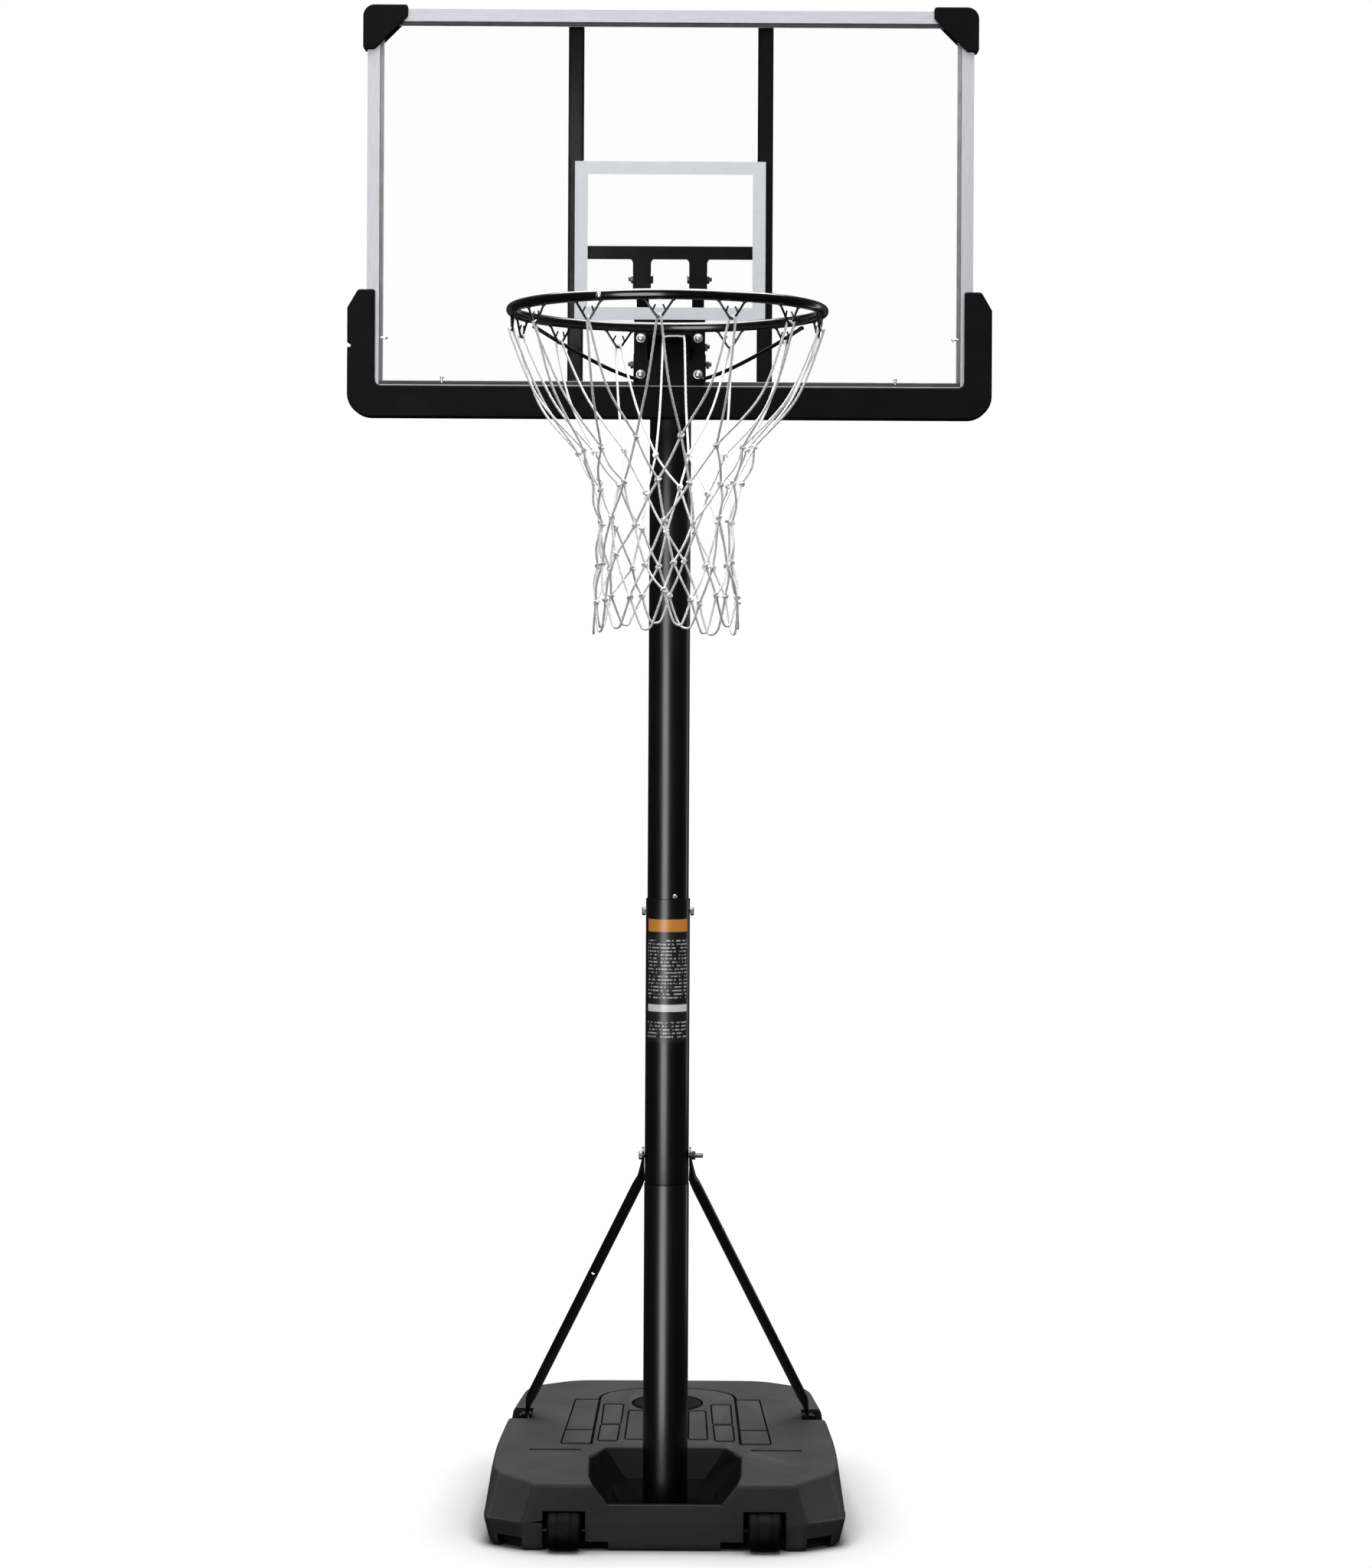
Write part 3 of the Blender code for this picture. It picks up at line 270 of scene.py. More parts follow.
# ------------------------------------------------------------ materials
class Mat:
    """A Principled material with procedural colour, roughness and relief."""

    def __init__(self, name, rough=0.5, metal=0.0, **sockets):
        self.m = bpy.data.materials.new(name)
        self.m.use_nodes = True
        self.t = self.m.node_tree
        self.n = self.t.nodes
        self.b = self.n["Principled BSDF"]
        self.b.inputs["Roughness"].default_value = rough
        self.b.inputs["Metallic"].default_value = metal
        for k, v in sockets.items():
            self.b.inputs[k.replace("_", " ")].default_value = v
        self.co = self.n.new("ShaderNodeTexCoord")
        self.last_normal = None

    def link(self, a, b):
        self.t.links.new(a, b)

    def coords(self, scale=(1, 1, 1)):
        mp = self.n.new("ShaderNodeMapping")
        mp.inputs["Scale"].default_value = scale
        self.link(self.co.outputs["Object"], mp.inputs["Vector"])
        return mp.outputs["Vector"]

    def noise(self, scale, detail=3.0, rough=0.55, stretch=(1, 1, 1), distort=0.0):
        nz = self.n.new("ShaderNodeTexNoise")
        nz.inputs["Scale"].default_value = scale
        nz.inputs["Detail"].default_value = detail
        nz.inputs["Roughness"].default_value = rough
        nz.inputs["Distortion"].default_value = distort
        self.link(self.coords(stretch), nz.inputs["Vector"])
        return nz.outputs["Fac"]

    def ramp(self, fac, stops, interp='LINEAR'):
        r = self.n.new("ShaderNodeValToRGB")
        r.color_ramp.interpolation = interp
        el = r.color_ramp.elements
        while len(el) < len(stops):
            el.new(0.5)
        for e, (p, c) in zip(el, stops):
            e.position = p
            e.color = (*c, 1.0) if len(c) == 3 else c
        self.link(fac, r.inputs["Fac"])
        return r.outputs["Color"]

    def span(self, fac, a, b, lo_in=0.3, hi_in=0.7):
        r = self.n.new("ShaderNodeMapRange")
        r.inputs["From Min"].default_value = lo_in
        r.inputs["From Max"].default_value = hi_in
        r.inputs["To Min"].default_value = a
        r.inputs["To Max"].default_value = b
        self.link(fac, r.inputs["Value"])
        return r.outputs["Result"]

    def colour(self, sock):
        self.link(sock, self.b.inputs["Base Color"])

    def rough(self, sock):
        self.link(sock, self.b.inputs["Roughness"])

    def bump(self, height, strength=0.2, distance=0.001):
        bp = self.n.new("ShaderNodeBump")
        bp.inputs["Strength"].default_value = strength
        bp.inputs["Distance"].default_value = distance
        self.link(height, bp.inputs["Height"])
        if self.last_normal is not None:
            self.link(self.last_normal, bp.inputs["Normal"])
        self.last_normal = bp.outputs["Normal"]
        self.link(self.last_normal, self.b.inputs["Normal"])

    def painted_edge_highlight(self, sock_colour, edge, amount):
        """Lightens convex edges by the geometry's pointiness: a painted edge highlight."""
        g = self.n.new("ShaderNodeNewGeometry")
        k = self.span(g.outputs["Pointiness"], 0.0, amount, 0.52, 0.60)
        mx = self.n.new("ShaderNodeMix")
        mx.data_type = 'RGBA'
        mx.inputs[7].default_value = (*edge, 1.0)
        self.link(k, mx.inputs[0])
        self.link(sock_colour, mx.inputs[6])
        return mx.outputs[2]


def coat_black(name, lo=0.0016, hi=0.0030, r0=0.29, r1=0.35, spec=0.5):
    m = Mat(name, 0.25, 0.0, Specular_IOR_Level=spec, Coat_Weight=0.15, Coat_Roughness=0.12)
    c = m.ramp(m.noise(22, 4), [(0.35, (lo, lo, lo * 1.15)), (0.65, (hi, hi, hi * 1.12))])
    m.colour(c)
    m.rough(m.span(m.noise(9, 5), r0, r1))
    m.bump(m.noise(420, 2, 0.5), 0.03, 0.0002)
    m.bump(m.noise(40, 3, 0.5), 0.03, 0.0004)
    return m.m


def plastic_black(name, base=0.011, r0=0.42, r1=0.58, grain=900):
    m = Mat(name, 0.5, 0.0, Specular_IOR_Level=0.04)
    c = m.ramp(m.noise(30, 4), [(0.3, (base * 0.85,) * 3), (0.7, (base * 1.2, base * 1.2, base * 1.25))])
    m.colour(c)
    m.rough(m.span(m.noise(14, 4), r0, r1))
    m.bump(m.noise(grain, 2, 0.6), 0.22, 0.0003)
    return m.m


def hdpe(name):
    m = Mat(name, 0.5, 0.0, Specular_IOR_Level=0.05)
    c = m.ramp(m.noise(6, 5, 0.6), [(0.30, (0.040, 0.040, 0.042)), (0.50, (0.048, 0.048, 0.050)), (0.72, (0.056, 0.056, 0.058))])
    fleck = m.noise(700, 2, 0.5)
    mx = m.n.new("ShaderNodeMix")
    mx.data_type = 'RGBA'
    mx.blend_type = 'MULTIPLY'
    mx.inputs[0].default_value = 0.30
    m.link(c, mx.inputs[6])
    m.link(m.ramp(fleck, [(0.35, (0.55,) * 3), (0.65, (1.25,) * 3)]), mx.inputs[7])
    # painted shade: a short-range ambient occlusion darkens the colour in creases and grooves
    crease_shade_ao = m.n.new("ShaderNodeAmbientOcclusion")
    crease_shade_ao.samples = 6
    crease_shade_ao.inputs["Distance"].default_value = 0.010
    crease_shade_mix = m.n.new("ShaderNodeMix")
    crease_shade_mix.data_type = 'RGBA'
    crease_shade_mix.blend_type = 'MULTIPLY'
    crease_shade_mix.inputs[0].default_value = 0.9
    # painted shade: a wide ambient occlusion darkens the colour in recesses and under overhangs
    recess_shade_ao = m.n.new("ShaderNodeAmbientOcclusion")
    recess_shade_ao.samples = 6
    recess_shade_ao.inputs["Distance"].default_value = 0.15
    far_shade_mix = m.n.new("ShaderNodeMix")
    far_shade_mix.data_type = 'RGBA'
    far_shade_mix.blend_type = 'MULTIPLY'
    far_shade_mix.inputs[0].default_value = 1.0
    # painted edge highlight: convex edges of the grey plastic are lightened towards a lighter grey
    m.link(m.painted_edge_highlight(mx.outputs[2], (0.12, 0.12, 0.122), 0.16), far_shade_mix.inputs[6])
    m.link(m.ramp(recess_shade_ao.outputs["AO"], [(0.45, (0.10,) * 3), (0.88, (1.0,) * 3)]), far_shade_mix.inputs[7])
    sep = m.n.new("ShaderNodeSeparateXYZ")
    m.link(m.co.outputs["Object"], sep.inputs["Vector"])

    def calc(op, a, b):
        q = m.n.new("ShaderNodeMath")
        q.operation = op
        for i, v in enumerate((a, b)):
            if isinstance(v, float):
                q.inputs[i].default_value = v
            elif v is not None:
                m.link(v, q.inputs[i])
        return q.outputs[0]
    # painted shade: a mask by position (deep) marks the pole recess and sets its colour near black; faces there that
    # point forward and up are painted a little lighter, as if lit from above
    plane = calc('ADD', calc('MULTIPLY', sep.outputs["Y"], 0.0389), 0.112 - 0.0389 * (Y0 + FRONT))
    sunk = m.span(calc('SUBTRACT', plane, sep.outputs["Z"]), 0.0, 1.0, 0.0005, 0.0045)
    wide = m.span(calc('ABSOLUTE', sep.outputs["X"], None), 1.0, 0.0, 0.160, 0.166)
    back = m.span(sep.outputs["Y"], 1.0, 0.0, Y0 + 0.165, Y0 + 0.185)
    front = m.span(sep.outputs["Y"], 0.0, 1.0, Y0 + FRONT + 0.003, Y0 + FRONT + 0.014)
    deep = calc('MULTIPLY', calc('MULTIPLY', sunk, wide), calc('MULTIPLY', back, front))
    recess_shade_mix = m.n.new("ShaderNodeMix")
    recess_shade_mix.data_type = 'RGBA'
    geo = m.n.new("ShaderNodeNewGeometry")
    gs = m.n.new("ShaderNodeSeparateXYZ")
    m.link(geo.outputs["True Normal"], gs.inputs["Vector"])
    painted_slope_light = calc('MULTIPLY', m.span(gs.outputs["Y"], 0.0, 1.0, -0.30, -0.55), m.span(gs.outputs["Z"], 0.0, 1.0, 0.15, 0.30))
    m.link(m.ramp(painted_slope_light, [(0.0, (0.0008, 0.0008, 0.0009)), (1.0, (0.0100, 0.0100, 0.0108))]), recess_shade_mix.inputs[7])
    m.link(deep, recess_shade_mix.inputs[0])
    # painted shade: a band just under the sloping top, the walls of the channels, is darkened to near black
    line = m.span(calc('SUBTRACT', plane, sep.outputs["Z"]), 0.0, 1.0, 0.0008, 0.0026)
    line = calc('MULTIPLY', line, m.span(calc('ABSOLUTE', sep.outputs["X"], None), 1.0, 0.0, 0.238, 0.242))
    line = calc('MULTIPLY', line, m.span(sep.outputs["Y"], 0.0, 1.0, Y0 + 0.098, Y0 + 0.104))
    line = calc('MULTIPLY', line, m.span(sep.outputs["Y"], 1.0, 0.0, Y0 + 0.575, Y0 + 0.585))
    line = calc('MULTIPLY', line, m.span(sep.outputs["Z"], 0.0, 1.0, 0.105, 0.108))
    groove_shade_mix = m.n.new("ShaderNodeMix")
    groove_shade_mix.data_type = 'RGBA'
    groove_shade_mix.inputs[7].default_value = (0.007, 0.007, 0.0075, 1.0)
    m.link(line, groove_shade_mix.inputs[0])
    m.link(far_shade_mix.outputs[2], groove_shade_mix.inputs[6])
    m.link(groove_shade_mix.outputs[2], recess_shade_mix.inputs[6])
    m.link(recess_shade_mix.outputs[2], crease_shade_mix.inputs[6])
    m.link(m.ramp(crease_shade_ao.outputs["AO"], [(0.35, (0.10,) * 3), (0.85, (1.0,) * 3)]), crease_shade_mix.inputs[7])
    m.colour(crease_shade_mix.outputs[2])
    rm = m.n.new("ShaderNodeMix")
    rm.data_type = 'FLOAT'
    rm.inputs[3].default_value = 0.95
    m.link(deep, rm.inputs[0])
    m.link(m.span(m.noise(18, 4), 0.44, 0.62), rm.inputs[2])
    m.rough(rm.outputs[0])
    m.bump(m.noise(520, 3, 0.62), 0.35, 0.0005)
    m.bump(m.noise(11, 3, 0.5), 0.12, 0.004)
    return m.m


def aluminium(name, stretch):
    m = Mat(name, 0.38, 0.05, Specular_IOR_Level=0.18)
    m.colour(m.ramp(m.noise(60, 4, 0.6, stretch), [(0.3, (0.43, 0.43, 0.465)), (0.7, (0.52, 0.52, 0.555))]))
    m.rough(m.span(m.noise(140, 3, 0.6, stretch), 0.28, 0.44))
    m.bump(m.noise(500, 2, 0.6, stretch), 0.12, 0.0002)
    return m.m


def zinc(name, k=1.0):
    m = Mat(name, 0.28, 0.7)
    m.colour(m.ramp(m.noise(180, 4, 0.6), [(0.3, (0.50 * k, 0.50 * k, 0.52 * k)), (0.7, (0.74 * k, 0.74 * k, 0.75 * k))]))
    m.rough(m.span(m.noise(90, 3), 0.20, 0.38))
    m.bump(m.noise(800, 2), 0.10, 0.0002)
    return m.m


def rubber(name):
    m = Mat(name, 0.6, 0.0, Specular_IOR_Level=0.06)
    m.colour(m.ramp(m.noise(50, 4), [(0.3, (0.0028,) * 3), (0.7, (0.0060,) * 3)]))
    m.rough(m.span(m.noise(35, 3), 0.5, 0.72))
    m.bump(m.noise(900, 2), 0.3, 0.0004)
    return m.m


def cord(name):
    m = Mat(name, 0.75, 0.0, Specular_IOR_Level=0.3, Sheen_Weight=0.25, Sheen_Roughness=0.4)
    m.colour(m.ramp(m.noise(240, 4, 0.6), [(0.28, (0.58, 0.58, 0.59)), (0.55, (0.75, 0.75, 0.765)), (0.8, (0.85, 0.85, 0.865))]))
    m.rough(m.span(m.noise(120, 3), 0.62, 0.85))
    m.bump(m.noise(1500, 2, 0.6), 0.45, 0.0004)
    return m.m


def clear(name):
    m = Mat(name, 0.04, 0.0, Alpha=0.02, Specular_IOR_Level=0.4)
    m.colour(m.ramp(m.noise(3, 2), [(0.3, (0.05, 0.055, 0.06)), (0.7, (0.07, 0.075, 0.08))]))
    m.rough(m.span(m.noise(30, 4, 0.6, (1, 1, 6)), 0.02, 0.07))
    m.bump(m.noise(260, 2, 0.5, (1, 1, 14)), 0.02, 0.0001)
    return m.m


def print_white(name):
    m = Mat(name, 0.42, 0.0)
    m.colour(m.ramp(m.noise(90, 3, 0.6, (1, 1, 3)), [(0.3, (0.47, 0.485, 0.515)), (0.7, (0.505, 0.52, 0.55))]))
    m.rough(m.span(m.noise(200, 2), 0.36, 0.5))
    m.bump(m.noise(900, 2), 0.08, 0.0001)
    return m.m


def label(name, z0, z1):
    """A generic height sticker: an orange band, a pale band and rows of plain grey dashes."""
    m = Mat(name, 0.35, 0.0)
    sep = m.n.new("ShaderNodeSeparateXYZ")
    m.link(m.co.outputs["Object"], sep.inputs["Vector"])
    t = m.span(sep.outputs["Z"], 0.0, 1.0, z0, z1)
    k = (0.014, 0.014, 0.015)
    w = (0.93, 0.93, 0.94)

    def pos(z):
        return min(max((z - z0) / (z1 - z0), 0.0), 1.0)
    ground = m.ramp(t, [(0.0, k), (pos(0.8965), w), (pos(0.909), k), (pos(1.0325), (0.78, 0.30, 0.045)),
                        (pos(1.0535), (0.60, 0.22, 0.035))], 'CONSTANT')
    rows = m.n.new("ShaderNodeTexWave")
    rows.wave_type, rows.bands_direction = 'BANDS', 'Z'
    rows.inputs["Scale"].default_value = 52.0
    m.link(m.coords(), rows.inputs["Vector"])
    dash = m.noise(260, 1, 0.4, (1, 1, 0.35))
    a = m.ramp(rows.outputs["Fac"], [(0.0, (0, 0, 0)), (0.60, (0, 0, 0)), (0.72, (1, 1, 1))])
    b = m.ramp(dash, [(0.46, (0, 0, 0)), (0.52, (1, 1, 1))])
    blocks = m.ramp(t, [(0.0, (0, 0, 0)), (pos(0.852), (1, 1, 1)), (pos(0.882), (0, 0, 0)), (pos(0.917), (1, 1, 1)),
                        (pos(1.022), (0, 0, 0))], 'CONSTANT')

    def mul(p, q):
        x = m.n.new("ShaderNodeMix")
        x.data_type = 'RGBA'
        x.blend_type = 'MULTIPLY'
        x.inputs[0].default_value = 1.0
        m.link(p, x.inputs[6])
        m.link(q, x.inputs[7])
        return x.outputs[2]
    mask = mul(mul(a, b), blocks)
    fin = m.n.new("ShaderNodeMix")
    fin.data_type = 'RGBA'
    fin.inputs[7].default_value = (0.60, 0.60, 0.62, 1.0)
    m.link(mask, fin.inputs[0])
    m.link(ground, fin.inputs[6])
    m.colour(fin.outputs[2])
    m.rough(m.span(m.noise(60, 3), 0.28, 0.42))
    return m.m


M_COAT = coat_black("gloss_black_powder_coat")
M_BAR = coat_black("satin_black_steel", 0.0018, 0.0034, 0.40, 0.50, 0.04)
M_TRIM = plastic_black("grained_black_plastic", 0.0034)
M_FOAM = plastic_black("black_edge_padding", 0.0040, 0.5, 0.68, 600)
M_RIM = coat_black("rim_powder_coat", 0.0016, 0.0030, 0.17, 0.23, 0.6)
M_HDPE = hdpe("grained_grey_hdpe")
M_CAP = plastic_black("dark_cap_plastic", 0.010, 0.45, 0.6, 700)
M_ALU_X = aluminium("brushed_aluminium_across", (0.6, 10, 14))
M_ALU_Z = aluminium("brushed_aluminium_upright", (14, 10, 0.6))
M_ZINC = zinc("zinc_plate")
M_DARK_ZINC = zinc("dark_zinc_plate", 0.20)
M_RUBBER = rubber("wheel_rubber_black")
M_CORD = cord("white_nylon_cord")
M_CLEAR = clear("clear_polycarbonate")
M_PRINT = print_white("white_target_ink")
lz0, lz1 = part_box("height_label")[0][2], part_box("height_label")[1][2]
M_LABEL = label("height_sticker", lz0, lz1)
M_WATER = Mat("tank_water", 0.08, 0.0)
M_WATER.colour(M_WATER.ramp(M_WATER.noise(4), [(0.3, (0.18, 0.30, 0.36)), (0.7, (0.24, 0.38, 0.44))]))
M_WATER = M_WATER.m


def paint(names, mat):
    for n in names:
        me = NODES[n].data
        me.materials.clear()
        me.materials.append(mat)


ALL_STEEL = ["rear_upright_left", "rear_upright_right", "upper_crossbar", "lower_crossbar", "upper_arm_left", "upper_arm_right",
             "lower_arm_left", "lower_arm_right", "foot_bracket_left", "foot_bracket_right", "rim_bracket", "wheel_axle_left", "wheel_axle_right",
             "foot_bolt_left", "foot_bolt_right"]
paint(ALL_STEEL, M_BAR)
paint(["frame_top_rail", "frame_bottom_rail"], M_ALU_X)
paint(["frame_left_rail", "frame_right_rail"], M_ALU_Z)
paint(["board_panel"], M_CLEAR)
paint(["target_square"], M_PRINT)
paint(["water_ballast"], M_WATER)
BOLTS = ["lock_screw_left", "lock_screw_right", "snap_button", "button_spring", "strut_bolt",
         "strut_nut", "upper_front_bolt_left", "upper_front_bolt_right", "lower_front_bolt_left",
         "lower_front_bolt_right", "upper_pole_bolt", "lower_pole_bolt"]
paint(BOLTS, M_DARK_ZINC)
paint(["snap_button", "button_spring"], M_ZINC)


# ------------------------------------------------------------ base shell
def top_z(y):
    return 0.112 + 0.0389 * (y - FRONT)


def smooth_outline(ctrl, n):
    """Right half control points with corner radii, mirrored into one ring of rounded corners."""
    pts = [(x, y, r) for x, y, r in ctrl] + [(-x, y, r) for x, y, r in reversed(ctrl)]
    out = []
    m = len(pts)
    for i in range(m):
        p, a, b = Vector(pts[i][:2]), Vector(pts[i - 1][:2]), Vector(pts[(i + 1) % m][:2])
        r = pts[i][2]
        da, db = (a - p), (b - p)
        k = min(r, da.length * 0.48, db.length * 0.48)
        s, e = p + da.normalized() * k, p + db.normalized() * k
        for j in range(n + 1):
            t = j / n
            out.append(tuple((1 - t) ** 2 * s + 2 * t * (1 - t) * p + t * t * e))
    return out


TANK = {
    "floor": [(.150, -.101), (.232, -.101), (.284, -.063), (.292, -.040), (.291, .155), (.284, .365), (.272, .530), (.255, .565),
              (.190, .605), (.130, .606)],
    "low": [(.150, -.105), (.236, -.105), (.293, -.068), (.300, -.040), (.299, .155), (.292, .365), (.280, .535), (.262, .572),
            (.190, .613), (.130, .614)],
    "wide": [(.150, -.106), (.237, -.106), (.3025, -.068), (.307, -.040), (.305, .155), (.298, .365), (.287, .535), (.268, .575),
             (.185, .619), (.130, .620)],
    "edge": [(.150, -.1040), (.2200, -.1020), (.2835, -.0300), (.2975, .010), (.2975, .155), (.2855, .365), (.266, .545),
             (.248, .577), (.178, .618), (.120, .6195)],
    "top": [(.150, -.0985), (.2150, -.0960), (.2780, -.0260), (.2915, .012), (.2915, .155), (.2798, .365), (.2605, .542),
            (.243, .572), (.175, .6125), (.120, .6140)]}
CORNER = [.004, .007, .008, .020, .080, .080, .025, .020, .030, .030]


def tank_ring(z, a, b=None, t=0.0, follow=False):
    pts = TANK[a] if b is None else [(p[0] * (1 - t) + q[0] * t, p[1] * (1 - t) + q[1] * t) for p, q in zip(TANK[a], TANK[b])]
    ctrl = [(x, y, r) for (x, y), r in zip(pts, CORNER)]
    return [(x, y + Y0, (top_z(y) + z) if follow else z) for x, y in smooth_outline(ctrl, 5)]


shell = loft([tank_ring(0.0, "floor"), tank_ring(0.0012, "floor", "low", 0.35), tank_ring(0.0045, "floor", "low", 0.72), tank_ring(0.0120, "low"),
              tank_ring(0.0385, "low", "wide", 0.90), tank_ring(0.0425, "wide"), tank_ring(0.0460, "wide"),
              tank_ring(0.0500, "wide", "edge", 0.10), tank_ring(-0.0085, "edge", None, 0.0, True),
              tank_ring(-0.0052, "edge", "top", 0.12, True), tank_ring(-0.0024, "edge", "top", 0.38, True),
              tank_ring(-0.0007, "edge", "top", 0.70, True), tank_ring(0.0, "top", None, 0.0, True)])

cut = []
rc = lambda z, pts: [(x, y + Y0, z) for x, y in pts]
low = [(-0.089, -0.17), (0.089, -0.17), (0.100, -0.05), (0.100, 0.035), (0.068, 0.092), (-0.068, 0.092), (-0.100, 0.035), (-0.100, -0.05)]
low2 = [(x * 0.95, y if y < -0.1 else y * 0.95) for x, y in low]
high = [(-0.146, -0.17), (0.146, -0.17), (0.159, -0.05), (0.157, 0.100), (0.130, 0.158), (-0.130, 0.158), (-0.157, 0.100), (-0.159, -0.05)]
cut.append(loft([rc(0.0755, low), rc(0.150, high)]))
deep = [(-0.070, -0.080), (0.070, -0.080), (0.078, -0.050), (0.078, 0.030), (0.050, 0.070), (-0.050, 0.070), (-0.078, 0.030), (-0.078, -0.050)]
deep_top = [(-0.082, -0.086), (0.082, -0.086), (0.092, -0.052), (0.092, 0.032), (0.062, 0.084), (-0.062, 0.084), (-0.092, 0.032), (-0.092, -0.052)]
cut.append(loft([rc(0.046, deep), rc(0.080, deep_top)]))
for s in (-1, 1):
    def sp(a, b):
        return min(s * a, s * b), max(s * a, s * b)
    x0, x1 = sp(0.1325, 0.2045)
    well = prism([(Y0 - 0.25, -0.02), (Y0 - 0.055, -0.02), (Y0 - 0.055, 0.058), (Y0 - 0.063, 0.0660), (Y0 - 0.25, 0.0660)], x0, x1, 'YZ')
    cut.append(well)
    x0, x1 = sp(0.094, 0.1385)
    cut.append(box((x0, Y0 - 0.20, -0.02), (x1, Y0 - 0.060, 0.015)))
    x0, x1 = sp(0.2440, 0.34)
    cut.append(box((x0, Y0 + 0.326, 0.1020), (x1, Y0 + 0.402, 0.20)))
    # hollow under the corner facet
    foot = [(s * 0.2450, Y0 - 0.13), (s * 0.2950, Y0 - 0.100), (s * 0.2720, Y0 - 0.060), (s * 0.2350, Y0 - 0.086)]
    cut.append(prism(foot, -0.02, 0.021, 'XY'))
cut.append(rod(LOWER_R + 0.0006, 0.012, 0.20, 'Z', 64, (0, Y0, 0)))
cut.append(box((-0.084, Y0 - 0.088, -0.02), (0.084, Y0 - 0.050, 0.036)))
cut.append(box((-0.084, Y0 + 0.050, -0.02), (0.084, Y0 + 0.124, 0.036)))
cut.append(rod(0.0655, 0.1275, 0.20, 'Z', 96, (0, Y0 + 0.444, 0)))


grooves = []


def channel(pts, w, d):
    """A channel of even width sunk into the sloping top along a bent path."""
    pts = [Vector(p) for p in pts]
    rings = []
    for i, p in enumerate(pts):
        a, b = pts[max(i - 1, 0)], pts[min(i + 1, len(pts) - 1)]
        u = (b - a).normalized()
        v = Vector((-u.y, u.x)) * w / 2
        ring = []
        for q, dz in ((p - v * 0.45, -d), (p + v * 0.45, -d), (p + v, 0.0006), (p + v, 0.02), (p - v, 0.02), (p - v, 0.0006)):
            ring.append((q.x, q.y + Y0, top_z(q.y) + dz))
        rings.append(ring)
    return loft(rings)



# each brick: inner and outer x at its back and its front, then its back and front line
BRICKS = [(0.0807, 0.1150, 0.0830, 0.1165, 0.433, 0.291), (0.0840, 0.1170, 0.0868, 0.1195, 0.287, 0.175),
          (0.0400, 0.0690, 0.0400, 0.0722, 0.387, 0.185)]


def leg(y):
    return 0.1245 + (0.484 - y) * 0.0190


for s in (-1, 1):
    for xi, xo, fi, fo, yb, yf in BRICKS:
        grooves.append(channel([(s * xi, yb), (s * (xi + xo) / 2, yb), (s * xo, yb)], 0.0105, 0.0048))
        grooves.append(channel([(s * fi, yf), (s * (fi + fo) / 2, yf), (s * fo, yf)], 0.0120, 0.0050))
        grooves.append(channel([(s * (xi - 0.0008), yb - 0.0020), (s * (fi - 0.0008), yf + 0.0020)], 0.0030, 0.0040))
        grooves.append(channel([(s * (xo + 0.0008), yb - 0.0020), (s * (fo + 0.0008), yf + 0.0020)], 0.0030, 0.0040))
    for y, xo, w in ((0.468, 0.169, 0.0110), (0.249, 0.1787, 0.0110), (0.155, 0.184, 0.0120)):
        grooves.append(channel([(s * (leg(y) + 0.0004), y), (s * (leg(y) + 0.02), y), (s * xo, y)], w, 0.0050))
    grooves.append(channel([(s * 0.1694, 0.4660), (s * 0.1843, 0.1570)], 0.0030, 0.0040))
    grooves.append(channel([(s * 0.1480, 0.114), (s * 0.190, 0.114), (s * 0.2370, 0.114)], 0.0120, 0.0050))
arch = [(-leg(0.150), 0.150), (-leg(0.30), 0.30), (-leg(0.42), 0.42), (-0.1245, 0.484)]
arch += [(-0.1190, 0.505), (-0.1080, 0.521), (-0.0900, 0.535), (-0.0650, 0.547), (-0.0350, 0.555), (0.0, 0.558)]
arch += [(-x, y) for x, y in reversed(arch[:-1])]
grooves.append(channel(arch, 0.0052, 0.0046))
body = baked(shell, cutters=cut)


def state(me):
    chk = bmesh.new()
    chk.from_mesh(me)
    r = chk.calc_volume(signed=True), sum(1 for e in chk.edges if not e.is_manifold)
    chk.free()
    return r


done = 0
for g in grooves:
    trial = baked(body.copy(), cutters=[g])
    (v0, n0), (v1, n1) = state(body), state(trial)
    if abs(v1 - v0) < 0.0002 and n1 <= n0:
        body = trial
        done += 1
print("channels cut:", done, "of", len(grooves), state(body))
grooved = baked(body, late_bevel=(0.0012, 2, 28))
base_shell = add("base_shell", grooved, M_HDPE, "base", smooth=32, replaces=("base_tank",), crisp=True)

# ------------------------------------------------------------ fill cap
def cap_shape(r, z, a):
    return r + (0.0011 * (0.5 + 0.5 * math.cos(36 * a)) - 0.0006 if 0.0015 < z < 0.0062 and r > 0.058 else 0.0)


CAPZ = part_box("fill_cap")[1][2] - 0.0110
cap = turn([(0.0, -0.0020), (0.0475, -0.0020), (0.0475, -0.0118), (0.0480, -0.0120), (0.0500, -0.0120), (0.0505, -0.0115),
            (0.0505, 0.0003), (0.0625, 0.0003), (0.0630, 0.0008), (0.0630, 0.0016), (0.0625, 0.0020), (0.0620, 0.0058), (0.0605, 0.0072),
            (0.0570, 0.0082), (0.0500, 0.0088), (0.0490, 0.0076), (0.0440, 0.0074), (0.0430, 0.0092), (0.0300, 0.0104),
            (0.0120, 0.0109), (0.0, 0.0110)], 144, Matrix.Translation((0, Y0 + 0.444, CAPZ)), cap_shape)
cap = baked(cap, unions=[prism([(-0.0385, Y0 + 0.4400), (0.0385, Y0 + 0.4400), (0.0385, Y0 + 0.4480), (-0.0385, Y0 + 0.4480)],
                               CAPZ + 0.006, CAPZ + 0.0109, 'XY')])
add("fill_cap_detail", cap, M_CAP, "fill_cap", 35, ("fill_cap",))

